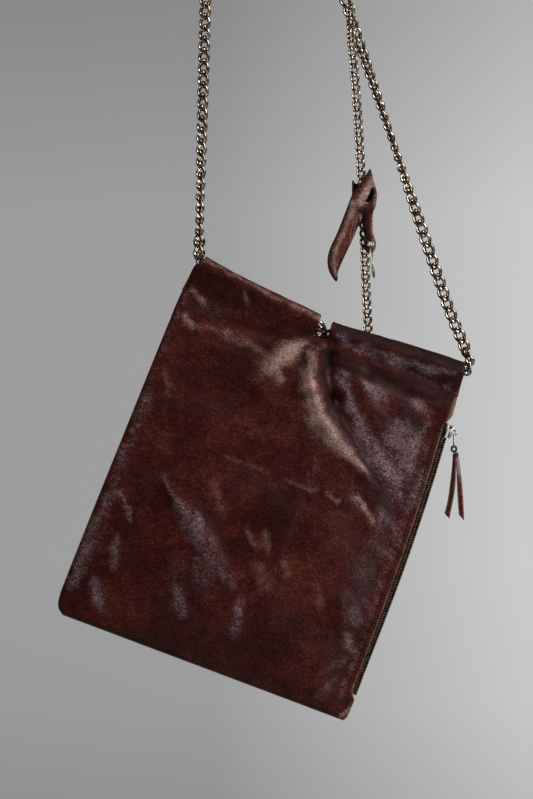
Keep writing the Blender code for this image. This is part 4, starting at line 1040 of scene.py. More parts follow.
def back_route():
    corners = []
    for turn, side in zip(strap_turns(), (-1, 1)):
        above = strand_corners(turn, side)[-1]
        top = turn + (above - turn).normalized() * HEM_CHAIN_RISE
        top.y += STRAP_CHAIN + 2 * CLEARANCE
        corners.append((top, Vector((turn.x, -turn.y, turn.z))))
    (left_top, left_turn), (right_top, right_turn) = corners
    far = float(edge("right", 0.0)) - HEM_CHAIN_INSET
    inside = [hem_chain_point(p, -1) for p in hem_places(HEM_CHAIN_INSET, far)]
    start = fillet([left_top, left_turn, inside[0]], [HEM_CHAIN_BEND])
    end = fillet([inside[-1], right_turn, right_top], [HEM_CHAIN_BEND])
    return start[:-1] + inside + end[1:]


def leash_points():
    """The leash's route, from the strap's front down between the hems."""
    _, turn = strap_turns()
    touch, _ = touch_point(turn, 1)
    top = touch.lerp(turn + slack(), LEASH_PLACE)
    top.x += LEASH_ASIDE
    top.y -= (STRAP_CHAIN + LEASH_CHAIN) / 2 + CLEARANCE
    return [top + Vector((row.right, row.back, -row.down)) * LEASH_DROP for row in LEASH]


def smooth_route(points, count):
    """Evenly spaced points on a smooth curve through a route's own points."""
    rows = []
    for i in range(len(points) - 1):
        a, b = points[max(0, i - 1)], points[i]
        c, d = points[i + 1], points[min(len(points) - 1, i + 2)]
        rows += [curve_point(a, b, c, d, n / 4) for n in range(4)]
    rows.append(points[-1])
    lengths = [0.0]
    for before, after in zip(rows, rows[1:]):
        lengths.append(lengths[-1] + (after - before).length)
    route = []
    for n in range(count + 1):
        want = lengths[-1] * n / count
        i = min(len(rows) - 2, next(k for k in range(len(rows)) if lengths[k] >= want - 1e-9) - 1)
        i = max(0, i)
        route.append(rows[i].lerp(rows[i + 1], (want - lengths[i]) / (lengths[i + 1] - lengths[i])))
    return route


# Chains of real links


def walk(route, pitch):
    """Points along a route, each a straight pitch from the last."""
    points = [route[0]]
    here, i, passed = route[0], 0, 0.0
    while i < len(route) - 1:
        start, after = route[i], route[i + 1]
        if (after - here).length < pitch:
            i, passed = i + 1, 0.0
            continue
        high = 1.0
        for _ in range(30):
            middle = (passed + high) / 2
            if (start.lerp(after, middle) - here).length < pitch:
                passed = middle
            else:
                high = middle
        here = start.lerp(after, high)
        points.append(here)
    return points


def fit_walk(route, pitch):
    """The same, with the pitch changed a little so that the last point ends the route."""
    for _ in range(12):
        points = walk(route, pitch)
        left_over = (route[-1] - points[-1]).length
        if left_over > pitch / 2:
            pitch *= 1 - (pitch - left_over) / pitch / len(points)
        else:
            pitch *= 1 + left_over / pitch / len(points)
    return points, pitch


def link_template(chain):
    """One curb link about its middle: along X, its width along Y, its twist towards Z."""
    half_length = (chain.length - chain.wire) / 2
    half_width = (chain.width - chain.wire) / 2
    turn = np.linspace(0.0, math.tau, LINK_AROUND, endpoint=False)

    def centre_line(turn):
        twist = LINK_TWIST * np.cos(turn)
        return np.stack([
            half_length * np.cos(turn),
            half_width * np.sin(turn) * np.cos(twist),
            half_width * np.sin(turn) * np.sin(twist),
        ], axis=1)

    line = centre_line(turn)
    tangent = centre_line(turn + 0.001) - centre_line(turn - 0.001)
    tangent /= np.linalg.norm(tangent, axis=1, keepdims=True)
    out = line - tangent * (line * tangent).sum(1, keepdims=True)
    out /= np.linalg.norm(out, axis=1, keepdims=True)
    side = np.cross(tangent, out)
    around = np.linspace(0.0, math.tau, LINK_SIDES, endpoint=False)
    rings = [
        line + chain.wire / 2 * (math.cos(a) * out + math.sin(a) * side) for a in around
    ]
    return np.stack(rings, axis=1).reshape(-1, 3)


def link_faces(first):
    faces = []
    for i in range(LINK_AROUND):
        for k in range(LINK_SIDES):
            a, b = i, (i + 1) % LINK_AROUND
            m = (k + 1) % LINK_SIDES
            face = (a * LINK_SIDES + k, a * LINK_SIDES + m, b * LINK_SIDES + m, b * LINK_SIDES + k)
            faces.append(tuple(first + n for n in face))
    return faces


def make_links(name, chain, joints, turns, material):
    """Links between the joints of a chain, each turned about its own line by its height."""
    template = link_template(chain)
    points, faces = [], []
    front = Vector((0.0, -1.0, 0.0))
    for before, after in zip(joints, joints[1:]):
        along = (after - before).normalized()
        middle = (before + after) / 2
        degrees = turns(middle)
        facing = (front - along * front.dot(along)).normalized()
        normal = Matrix.Rotation(math.radians(degrees), 3, along) @ facing
        wide = normal.cross(along)
        axes = np.array((along, wide, normal))
        faces += link_faces(len(points) * len(template))
        points.append(template @ axes + np.array(middle))
    return new_mesh(name, np.concatenate(points), faces, material)


def new_object(name, data):
    item = bpy.data.objects.new(name, data)
    bpy.context.scene.collection.objects.link(item)
    return item


def new_mesh(name, points, faces, *materials):
    mesh = bpy.data.meshes.new(name)
    mesh.from_pydata(np.asarray(points).tolist(), [], faces)
    for material in materials:
        mesh.materials.append(material)
    mesh.shade_smooth()
    return new_object(name, mesh)


def make_strap(metal):
    left_turn, right_turn = strap_turns()
    left = strap_half(left_turn, -1, HEM_CHAIN_INSET)
    right = strap_half(right_turn, 1, float(edge("right", 0.0)) - HEM_CHAIN_INSET)
    route = left[::-1] + right[1:]
    joints, _ = fit_walk(route, STRAP_LINKS.pitch)
    top = max(range(len(joints)), key=lambda n: joints[n].z)
    hem_end = bag_point(float(edge("right", 0.0)), 0.0, 0.0).x

    def left_turns(place):
        return float(read_table(LEFT_TURNS, "height", "degrees", place.z))

    def right_turns(place):
        inside = place.x < hem_end and place.z < BAG_CORNER.z
        height = RIGHT_TURNS[0].height if inside else place.z
        return float(read_table(RIGHT_TURNS, "height", "degrees", height))

    for name, part, turns, node in (
        ("strap_links_left", joints[:top + 1], left_turns, "strap_chain_left"),
        ("strap_links_right", joints[top:], right_turns, "strap_chain_right"),
    ):
        links = make_links(name, STRAP_LINKS, part, turns, metal)
        keep(links, "chain", node)
    joints, _ = fit_walk(back_route(), STRAP_LINKS.pitch)
    notch = bag_point(notch_middle(), 0.0, 0.0).x

    def back_turns(place):
        share = (place.x - notch - BACK_TURN_INSET) / (hem_end - notch - 2 * BACK_TURN_INSET)
        return BACK_TURN * float(smoothstep(share))

    links = make_links("back_hem_links", STRAP_LINKS, joints, back_turns, metal)
    keep(links, "chain", "back_hem_chain")


def make_leash(metal):
    joints, _ = fit_walk(smooth_route(leash_points(), 120), LEASH_LINKS.pitch)
    links = make_links("leash_links", LEASH_LINKS, joints, lambda place: LEASH_TURN, metal)
    keep(links, "chain", "leash_chain")


def smooth_outline(corners, splits):
    """A closed smooth curve through flat corner points."""
    count, made = len(corners), []
    for i in range(count):
        a, b, c, d = (np.array(corners[(i + k) % count]) for k in (-1, 0, 1, 2))
        made += [curve_point(a, b, c, d, n / splits) for n in range(splits)]
    return np.array(made)


def is_inside(x, y, outline):
    """Which flat places lie inside a closed outline."""
    inside = np.zeros(x.shape, bool)
    for (x0, y0), (x1, y1) in zip(outline, np.roll(outline, -1, axis=0)):
        crosses = (y0 > y) != (y1 > y)
        with np.errstate(divide="ignore", invalid="ignore"):
            inside ^= crosses & (x < x0 + (x1 - x0) * (y - y0) / (y1 - y0))
    return inside


def nearest_on(x, y, outline):
    """The distance from flat places to a closed outline, and their nearest points on it."""
    best = np.full(x.shape, np.inf)
    near_x, near_y = np.zeros(x.shape), np.zeros(x.shape)
    for start, stop in zip(outline, np.roll(outline, -1, axis=0)):
        run = stop - start
        along = np.clip(((x - start[0]) * run[0] + (y - start[1]) * run[1]) / (run @ run), 0, 1)
        px, py = start[0] + run[0] * along, start[1] + run[1] * along
        away = np.hypot(x - px, y - py)
        near_x, near_y = np.where(away < best, px, near_x), np.where(away < best, py, near_y)
        best = np.minimum(best, away)
    return best, near_x, near_y


def band_outline(line):
    """A closed outline about a bent line, as wide as the fob's slot and narrower at its ends."""
    sides = []
    for n, point in enumerate(line):
        run = line[min(len(line) - 1, n + 1)] - line[max(0, n - 1)]
        aside = np.array((run[1], -run[0])) / np.linalg.norm(run) * FOB_SLOT_WIDTH / 2
        sides.append(aside * (0.7 if n in (0, len(line) - 1) else 1.15))
    left = [point + aside for point, aside in zip(line, sides)]
    right = [point - aside for point, aside in zip(line, sides)]
    return left + right[::-1]


def make_fob(materials, metal):
    """The fob: one leather sheet with a slot and an eyelet, and its loop behind the leash."""
    outline = smooth_outline([fob_xy(corner) for corner in FOB], 4)
    slot = smooth_outline(band_outline([np.array(fob_xy(corner)) for corner in SLOT_BEND]), 4)
    eye_x, eye_y = fob_xy(FOB_EYELET)
    turn = np.linspace(0.0, math.tau, 24, endpoint=False)
    eye = np.array((eye_x, eye_y)) + EYELET_RADIUS * np.stack([np.cos(turn), np.sin(turn)], axis=1)
    low, high = outline.min(axis=0), outline.max(axis=0)
    xs = np.arange(low[0] - FOB_CELL, high[0] + 2 * FOB_CELL, FOB_CELL)
    ys = np.arange(low[1] - FOB_CELL, high[1] + 2 * FOB_CELL, FOB_CELL)
    x, y = np.meshgrid(xs, ys)
    middle_x, middle_y = (x[:-1, :-1] + x[1:, 1:]) / 2, (y[:-1, :-1] + y[1:, 1:]) / 2
    kept = is_inside(middle_x, middle_y, outline)
    for hole in (slot, eye):
        kept &= ~is_inside(middle_x, middle_y, hole)
    padded = np.pad(kept, 1)
    around = np.stack([padded[:-1, :-1], padded[:-1, 1:], padded[1:, :-1], padded[1:, 1:]])
    rim = around.any(axis=0) & ~around.all(axis=0)
    distance = np.full(x.shape, np.inf)
    snapped_x, snapped_y = x.copy(), y.copy()
    for line in (outline, slot, eye):
        away, near_x, near_y = nearest_on(x, y, line)
        closer = rim & (away < distance)
        snapped_x = np.where(closer, near_x, snapped_x)
        snapped_y = np.where(closer, near_y, snapped_y)
        distance = np.minimum(distance, away)
    distance = np.where(rim, 0.0, distance)
    x, y = snapped_x, snapped_y
    right, up = x / FOB_WIDTH, y / FOB_LENGTH
    tail = smoothstep((0.62 - right - 0.35 * (0.62 - up)) / 0.10) * smoothstep((0.74 - up) / 0.06)
    height = 0.0012 * smoothstep(distance / 0.006) * (0.4 + 0.6 * tail)
    height = height + 0.0008 * tail + 0.0003 * noise_field(x, y, 0.009)
    height = height - 0.0012 * smoothstep((0.66 - up) / 0.05) * (1 - tail)
    base = fob_placing()
    front = fob_front() + FOB_THICKNESS / 2
    points = np.stack([base.x + x, np.full(x.shape, base.y - front) - height, base.z + y], axis=2)
    index = np.arange(x.size).reshape(x.shape)
    faces = [
        tuple(int(index[j + b, i + a]) for a, b in ((0, 0), (1, 0), (1, 1), (0, 1)))
        for j, i in zip(*np.nonzero(kept))
    ]
    fob = new_mesh("fob_leather", points.reshape(-1, 3), faces, *materials)
    values = {}
    for kind in MARK_KINDS:
        clear = np.ones(x.shape)
        for mark in FOB_MARKS:
            if mark.kind == kind:
                start = (mark.right * FOB_WIDTH, mark.up * FOB_LENGTH)
                stop = (mark.to_right * FOB_WIDTH, mark.to_up * FOB_LENGTH)
                near = near_segment(x, y, start, stop, mark.half_width * FOB_WIDTH)
                clear = clear * (1 - mark.strength * near)
        values[kind] = 1 - clear
    # A dark rim of edge paint along the fob's outline, its slot and its eyelet
    dark_rim = 1 - smoothstep((distance - 0.0003) / 0.0010)
    values["deep"] = np.maximum(values["deep"], 0.9 * dark_rim)
    values["gather_highlight"] = np.zeros(x.shape)
    add_paint(fob.data, x, y, values)
    thicken(fob, FOB_THICKNESS)
    join(fob, [make_fob_loop(materials[0]), make_fob_strip(materials[0])])
    fob.data.shade_smooth()
    keep(fob, "leather", "key_fob")
    rim_place = Vector((base.x + eye_x, base.y - front, base.z + eye_y))
    ring = ring_points(rim_place, EYELET_RADIUS + 0.0003, 28)
    grommet = tube("fob_eyelet", ring, 0.0009, metal, True)
    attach(grommet, "root")


def make_fob_loop(material):
    """The band behind the leash, from the sheet's right side round to its left."""
    root = fob_front()
    depth = LEASH_CHAIN / 2 + LEASH_ROOM + FOB_THICKNESS / 2
    wide = (FOB_LOOP_WIDTH - FOB_THICKNESS) / 2
    path = [(wide, -root)] + [
        (wide * math.cos(a), depth * math.sin(a)) for a in np.linspace(0.0, math.pi, 15)
    ] + [(-wide, -root)]
    place = fob_place() + Vector((FOB_LOOP_SHIFT, 0.0, 0.0))
    points, faces = [], []
    for n, (x, y) in enumerate(path):
        share = n / (len(path) - 1)
        centre = 0.0040 + 0.0035 * share
        half = FOB_LOOP_HEIGHT / 2 * (0.80 + 0.50 * share)
        for w in (-1.0, -0.33, 0.33, 1.0):
            points.append(place + Vector((x, y, centre + w * half)))
    for n in range(len(path) - 1):
        for k in range(3):
            a = 4 * n + k
            faces.append((a, a + 1, a + 5, a + 4))
    loop = new_mesh("fob_loop", [tuple(point) for point in points], faces, material)
    # The loop is painted dark all over, as shade behind the leash
    add_painted_shade(loop.data, 1.0)
    thicken(loop, FOB_THICKNESS * 0.8, 0.0)
    return loop


def make_fob_strip(material):
    """The narrow strip that hangs from the knot behind the fob's narrow end."""
    base = fob_placing()
    line = [np.array(fob_xy(corner)) for corner in STRIP_BEND]
    points = []
    for (x, y), width in zip(line, STRIP_WIDTHS):
        for u in (-0.5, 0.0, 0.5):
            back = 0.0004 + 0.0012 * abs(u)
            depth = base.y - fob_front() + FOB_THICKNESS / 2 + back
            points.append((base.x + x + u * width, depth, base.z + y))
    faces = [
        (3 * n + k, 3 * n + 3 + k, 3 * n + 4 + k, 3 * n + 1 + k)
        for n in range(len(line) - 1) for k in range(2)
    ]
    strip = new_mesh("fob_strip", points, faces, material)
    # The strip is painted dark, as shade behind the fob's narrow end
    add_painted_shade(strip.data, 0.9)
    thicken(strip, STRIP_THICKNESS, 0.0)
    return strip


def fob_place():
    return smooth_route(leash_points(), LEASH_READINGS)[FOB_LEASH_POINT]


def fob_front():
    """How far the middle of the fob's flat leather lies in front of the leash's middle."""
    return LEASH_CHAIN / 2 + LEASH_ROOM + FOB_THICKNESS / 2


def fob_xy(corner):
    return corner.right * FOB_WIDTH, corner.up * FOB_LENGTH


def fob_placing():
    """The lower left corner of the fob, level with the leash's middle."""
    right, up = fob_xy(FOB_ON_LEASH)
    return fob_place() + Vector((-right, 0.0, -up))


def add_paint(mesh, across, along, values):
    """Gives a mesh its own coordinates and what shows at each of its points."""
    layer = mesh.uv_layers.new(name="across_along")
    corners = np.zeros(len(mesh.loops), np.int32)
    mesh.loops.foreach_get("vertex_index", corners)
    flat = np.stack([np.ravel(across), np.ravel(along)], axis=1)
    layer.data.foreach_set("uv", flat[corners].astype(np.float32).ravel())
    for kind, value in values.items():
        made = mesh.attributes.new(kind, "FLOAT", "POINT")
        made.data.foreach_set("value", np.ravel(value).astype(np.float32))


def add_painted_shade(mesh, strength):
    """The same for a small piece painted dark all over as shade, with its coordinates from the
    front.
    """
    flat = np.array([tuple(vert.co) for vert in mesh.vertices])
    zero = np.zeros(len(flat))
    values = {kind: zero for kind in ("painted_glow", "painted_sheen", "rust", "gather_highlight")}
    values["deep"] = zero + strength
    add_paint(mesh, flat[:, 0], flat[:, 2], values)


def thicken(item, thickness, offset=-1.0):
    """Gives a sheet its thickness, with its second and third materials inside and on the rim."""
    shape = bmesh.new()
    shape.from_mesh(item.data)
    bmesh.ops.delete(shape, geom=[v for v in shape.verts if not v.link_faces], context="VERTS")
    shape.to_mesh(item.data)
    shape.free()
    solid = item.modifiers.new("thickness", "SOLIDIFY")
    solid.thickness = thickness
    solid.offset = offset
    if len(item.data.materials) > 2:
        solid.material_offset = 1
        solid.material_offset_rim = 2
    apply_modifiers(item)


def join(item, others):
    """Joins the meshes of other objects to an object's own."""
    with bpy.context.temp_override(
        active_object=item, object=item, selected_objects=[item, *others],
        selected_editable_objects=[item, *others],
    ):
        bpy.ops.object.join()


def ring_points(centre, radius, count, axis=Vector((0.0, -1.0, 0.0))):
    """The points of a circle about an axis."""
    first = axis.orthogonal().normalized() * radius
    return [centre + Matrix.Rotation(math.tau * n / count, 3, axis) @ first for n in range(count)]


def tube(name, points, diameter, material, closed=False, sides=8):
    """A round wire along points, with half round ends when it is open."""
    curve = bpy.data.curves.new(name, "CURVE")
    curve.dimensions = "3D"
    curve.bevel_depth = diameter / 2
    curve.bevel_resolution = max(0, sides // 2 - 2)
    curve.use_fill_caps = True
    spline = curve.splines.new("POLY")
    spline.points.add(len(points) - 1)
    for target, point in zip(spline.points, points):
        target.co = (*point, 1.0)
    spline.use_cyclic_u = closed
    item = new_object(name, curve)
    bpy.context.view_layer.update()
    evaluated = item.evaluated_get(bpy.context.evaluated_depsgraph_get())
    mesh = bpy.data.meshes.new_from_object(evaluated)
    bpy.data.objects.remove(item)
    mesh.materials.clear()
    mesh.materials.append(material)
    mesh.shade_smooth()
    return new_object(name, mesh)


def make_key_ring(metal):
    """A split ring: two turns of flat wire, hung in the fob's eyelet."""
    base = fob_placing()
    x, y = fob_xy(FOB_EYELET)
    eye = Vector((base.x + x, base.y - fob_front(), base.z + y))
    radius = (KEY_RING_SIZE - KEY_RING_WIRE) / 2
    rest = EYELET_RADIUS - KEY_RING_WIRE / 2 - CLEARANCE
    lean = Matrix.Rotation(-KEY_RING_LEAN, 4, "Y") @ Matrix.Rotation(-KEY_RING_TURN, 4, "Z")
    hung = Matrix.Translation((0.0, 0.0, -radius - rest * 0.8))
    hung = hung @ Matrix.Rotation(math.pi / 2, 4, "Y")
    placing = Matrix.Translation(eye) @ lean @ hung
    apart = KEY_RING_WIRE - RING_STRAND
    points = []
    for n in range(2 * RING_STEPS - 2):
        turn = math.tau * n / RING_STEPS
        rise = apart * (smoothstep((turn / math.tau - 0.85) / 0.3) - 0.5)
        place = Vector((radius * math.sin(turn), radius * math.cos(turn), float(rise)))
        points.append(placing @ place)
    ring = tube("split_ring", points, RING_STRAND, metal)
    keep(ring, "steel", "key_ring")


def box_points(size, round_share=0.25):
    """A box with its edges cut off, about its middle, as points and faces."""
    shape = bmesh.new()
    bmesh.ops.create_cube(shape, size=1.0)
    bmesh.ops.scale(shape, vec=size, verts=shape.verts)
    bmesh.ops.bevel(
        shape, geom=shape.edges[:], offset=min(size) * round_share, segments=1,
        affect="EDGES", profile=0.5,
    )
    shape.verts.index_update()
    points = np.array([tuple(vert.co) for vert in shape.verts])
    faces = [tuple(vert.index for vert in face.verts) for face in shape.faces]
    shape.free()
    return points, faces


def place_copies(name, template, faces, places, material):
    """One mesh of many copies of a template, each with its own place and axes."""
    points, made = [], []
    for origin, axes in places:
        first = len(points) * len(template)
        points.append(template @ np.array(axes) + np.array(origin))
        made += [tuple(first + n for n in face) for face in faces]
    return new_mesh(name, np.concatenate(points), made, material)


def edge_frame(down):
    """The direction of the bag's right edge at a distance down, and the way out from it."""
    slope = float(edge("right", down + 0.001) - edge("right", down - 0.001)) / 0.002
    along = (DOWN + ACROSS * slope).normalized()
    return along, Vector((0.0, -1.0, 0.0)).cross(along).normalized()


def make_zip_looks(metal, cloth):
    """The closed row of teeth, from both sides in turn, and the woven tapes behind them."""
    stop = BAG_HEIGHT - ZIP_END
    start = ZIP_START + SLIDER_LENGTH + CLEARANCE
    reach = TEETH_WIDTH / 2 + TOOTH_OVERLAP
    template, faces = box_points((TOOTH_LENGTH, TEETH_THICKNESS, reach), 0.22)
    places, legs = [], []
    count = int((stop - start) / TOOTH_PITCH)
    for n in range(2 * count):
        facing = 1 if n % 2 else -1
        down = start + (n + 0.6) * TOOTH_PITCH / 2
        along, out = edge_frame(down)
        depth = facing * (TEETH_WIDTH / 2 - reach / 2)
        origin = bag_point(float(edge("right", down)) - TEETH_THICKNESS / 2, down, depth)
        axes = (along, out, Vector((0.0, -facing, 0.0)))
        places.append((origin, axes))
        inward = TEETH_THICKNESS / 2 + TOOTH_LEG / 2
        legs.append((origin - out * inward + axes[2] * (reach / 2 - 0.0002), axes))
    teeth = place_copies("teeth", template, faces, places, metal)
    leg, faces = box_points((TOOTH_LENGTH, TOOTH_LEG, TOOTH_LEG_THICKNESS), 0.2)
    join(teeth, [place_copies("legs", leg, faces, legs, metal)])
    keep(teeth, "teeth", "zip_teeth")
    inside = ZIP_HALF_DEPTH - LEATHER - CLEARANCE - TAPE_THICKNESS / 2
    for name, facing, node in (
        ("tape_front", 1, "zip_tape_front"),
        ("tape_back", -1, "zip_tape_back"),
    ):
        points, tape_faces, bead = [], [], []
        for n in range(TAPE_STEPS + 1):
            down = ZIP_START + (stop - ZIP_START) * n / TAPE_STEPS
            right = float(edge("right", down))
            for inward in (TEETH_THICKNESS + CLEARANCE, 0.005, ZIP_FRAME + ZIP_LAP):
                points.append(tuple(bag_point(right - inward, down, facing * inside)))
            bead.append(bag_point(right - TEETH_THICKNESS - 2.2 * CLEARANCE, down, facing * inside))
        for n in range(TAPE_STEPS):
            for k in range(2):
                a = 3 * n + k
                tape_faces.append((a, a + 1, a + 4, a + 3))
        tape = new_mesh(name, points, tape_faces, cloth)
        thicken(tape, TAPE_THICKNESS * 0.6, 0.0)
        tape.data.shade_flat()
        join(tape, [tube(name + "_bead", bead, TAPE_BEAD, cloth, sides=6)])
        keep(tape, "tape", node)


def slider_point():
    """The middle of the slider, on the right edge at the top of the teeth."""
    down = ZIP_START + SLIDER_LENGTH / 2
    inner = float(edge("right", down)) - TEETH_THICKNESS + CLEARANCE
    return bag_point(inner + SLIDER_THICKNESS / 2, down, 0.0)


def lug_point():
    return slider_point() + ACROSS * (SLIDER_THICKNESS / 2 + LUG_RADIUS - LUG_SET_IN)


def puller_middle():
    """The middle of the puller, which hangs plumb from the lowest point of the lug's hole."""
    wires = (LUG_WIRE + PULLER_WIRE) / 2 + CLEARANCE
    drop = LUG_RADIUS - wires + (PULLER_LENGTH - PULLER_WIRE) / 2
    return lug_point() - Vector((0.0, 0.0, drop))


def make_slider_looks(metal):
    """Two plates with turned-in sides, a neck between them and the lug for the puller."""
    centre, toward = slider_point(), Vector((0.0, -1.0, 0.0))
    axes = (DOWN, ACROSS, toward)
    plate = (SLIDER_LENGTH, SLIDER_PLATE, SLIDER_WIDTH)
    out = SLIDER_THICKNESS / 2 - SLIDER_PLATE / 2
    neck = (0.0034, SLIDER_THICKNESS - SLIDER_PLATE, 0.0024)
    pieces = []
    for name, size, shift in (
        ("outer", plate, (0.0, out, 0.0)),
        ("inner", plate, (0.0, -out, 0.0)),
        ("neck", neck, (-SLIDER_LENGTH / 2 + 0.0022, 0.0, 0.0)),
        ("front_side", (0.0085, 0.0012, 0.0009), (0.0015, 0.0012, SLIDER_WIDTH / 2 - 0.00045)),
        ("back_side", (0.0085, 0.0012, 0.0009), (0.0015, 0.0012, 0.00045 - SLIDER_WIDTH / 2)),
    ):
        points, faces = box_points(size, 0.35)
        origin = centre + DOWN * shift[0] + ACROSS * shift[1] + toward * shift[2]
        pieces.append(place_copies(name, points, faces, [(origin, axes)], metal))
    lug = tube("lug", ring_points(lug_point(), LUG_RADIUS, 24), LUG_WIRE, metal, True)
    slider = pieces[0]
    join(slider, pieces[1:] + [lug])
    slider.name = "slider_body"
    keep(slider, "steel", "zip_slider")
    middle = puller_middle()
    half = (PULLER_LENGTH - PULLER_WIDTH) / 2
    radius = (PULLER_WIDTH - PULLER_WIRE) / 2
    points = []
    for n in range(32):
        turn = math.tau * (n + 0.5) / 32
        rise = radius * math.sin(turn) + math.copysign(half, math.sin(turn))
        points.append(middle + Vector((0.0, radius * math.cos(turn), rise)))
    keep(tube("puller_wire", points, PULLER_WIRE, metal, True), "steel", "zip_puller")


def make_tassel_looks(leather, rim, dark):
    """A lace looped through the puller: a loop, a knot of wound lace and two ends. The loop and the
    knot's middle turn are painted darker as shade, the ends' sides lighter as painted highlights.
    """
    low = puller_middle() - Vector((0.0, 0.0, PULLER_LENGTH / 2))
    loop_radius = 0.82 * LACE_LOOP - LACE_THICKNESS / 2
    loop_centre = low - Vector((0.0, 0.0, LACE_LOOP - LACE_THICKNESS - PULLER_WIRE - CLEARANCE))
    knot_drop = LACE_LOOP + KNOT_SIZE / 2 - LACE_THICKNESS
    knot = loop_centre + Vector((KNOT_ASIDE, 0.0, -knot_drop))
    loop = [
        Vector((0.86 * (point.x - loop_centre.x) + loop_centre.x, point.y, point.z))
        for point in ring_points(loop_centre, loop_radius, 24)
    ]
    # The loop is painted darker, as shade
    pieces = [tube("lace_loop", loop, LACE_THICKNESS, dark, True)]
    for rise, size in ((0.0016, 0.80), (0.0, 1.0), (-0.0016, 0.85)):
        wound = [
            Vector((knot.x + size * 0.0020 * math.cos(a), knot.y + size * 0.0018 * math.sin(a),
                    knot.z + rise + 0.0005 * math.cos(a)))
            for a in np.linspace(0.0, math.tau, 16, endpoint=False)
        ]
        # The knot's middle turn is painted darker, as shade
        material = leather if rise else dark
        pieces.append(tube("knot_turn", wound, LACE_THICKNESS * 0.9, material, True))
    for row in LACE_ENDS:
        points, faces = [], []
        half = LACE_WIDTH / 2
        for n in range(LACE_ROWS + 1):
            share = n / LACE_ROWS
            wide = half * (0.6 + 0.4 * float(smoothstep(2 * share)))
            turn = math.radians(row.turn) * (1 - float(smoothstep(1.4 * share)))
            middle = LACE_APART * row.side + row.aside * share**row.bend
            for u in (-1.0, -0.5, 0.5, 1.0):
                slant = u * LACE_SLANT * share**12
                fall = LACE_TOP + (row.length * LACE_LENGTH - LACE_TOP) * share + slant
                cup = 0.0004 * (1 - u * u) * math.sin(3.0 * share)
                points.append((
                    knot.x + middle + u * wide * math.cos(turn),
                    knot.y + row.side * CLEARANCE - u * wide * math.sin(turn) - cup,
                    knot.z - fall,
                ))
        for n in range(LACE_ROWS):
            for k in range(3):
                a = 4 * n + k
                faces.append((a, a + 4, a + 5, a + 1))
        end = new_mesh("lace_end", points, faces, leather, rim)
        # The ends' sides are painted lighter, as highlights, their middles keep the lace's colour
        for face in end.data.polygons:
            face.material_index = 0 if face.index % 3 == 1 else 1
        thicken(end, LACE_THICKNESS * 0.75, 0.0)
        end.data.shade_flat()
        pieces.append(end)
    tassel = pieces[0]
    join(tassel, pieces[1:])
    tassel.name = "lace_tassel"
    keep(tassel, "leather", "zip_tassel")


def stitch_paths():
    """The rows of stitches on the front: the zip's and the hem's right end's."""
    zip_row = [
        (float(panel_edges(down, "front_short")[1]) - 0.0040, down)
        for down in np.linspace(ZIP_START - 0.002, BAG_HEIGHT - 0.008, 60)
    ]
    end_row = [
        (float(panel_edges(down, "front_short")[1]) - 0.0055, down)
        for down in np.linspace(0.014, ZIP_START - 0.008, 14)
    ]
    return [
        Stitching("zip_stitches", zip_row),
        Stitching("hem_end_stitches", end_row),
    ]


def make_stitches(row, tree, material):
    """Stitches laid on the leather along a row of places across and down."""
    turn = np.linspace(0.0, math.tau, 6, endpoint=False)
    template, faces = [], []
    for u in (-1.0, -0.8, -0.35, 0.35, 0.8, 1.0):
        radius = STITCH_THICKNESS / 2 * max(0.25, (1 - u**4) ** 0.5)
        for a in turn:
            template.append((u * STITCH_LENGTH / 2, radius * math.cos(a), radius * math.sin(a)))
    for n in range(5):
        for k in range(6):
            m = (k + 1) % 6
            faces.append((6 * n + k, 6 * n + m, 6 * n + 6 + m, 6 * n + 6 + k))
    faces += [tuple(range(5, -1, -1)), tuple(range(30, 36))]
    lengths = [0.0]
    for (a0, d0), (a1, d1) in zip(row.points, row.points[1:]):
        lengths.append(lengths[-1] + math.hypot(a1 - a0, d1 - d0))
    wanted = np.arange(STITCH_PITCH / 2, lengths[-1], STITCH_PITCH)
    across = np.interp(wanted, lengths, [point[0] for point in row.points])
    down = np.interp(wanted, lengths, [point[1] for point in row.points])
    hits = []
    for a, d in zip(across, down):
        before = bag_point(float(a), float(d), 2 * BAG_DEPTH)
        spot, normal, _, _ = tree.ray_cast(before, Vector((0.0, 1.0, 0.0)))
        hits.append((spot, normal))
    places = []
    for (spot, normal), (after, _) in zip(hits, hits[1:]):
        along = (after - spot).normalized()
        along = (along - normal * along.dot(normal)).normalized()
        raised = spot + normal * STITCH_THICKNESS * 0.2
        places.append((raised, (along, normal.cross(along), normal)))
    stitches = place_copies(row.name, np.array(template), faces, places, material)
    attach(stitches, "root")


def keep(item, slot, *nodes):
    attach(item, "root")
    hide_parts(*nodes)
    return item


# Materials


def colour(red, green, blue):
    """A colour as seen on a screen, from 0 to 255, turned into the light that a shader takes."""
    made = []
    for value in (red, green, blue):
        value /= 255
        made.append(value / 12.92 if value <= 0.04045 else ((value + 0.055) / 1.055) ** 2.4)
    return (*made, 1.0)


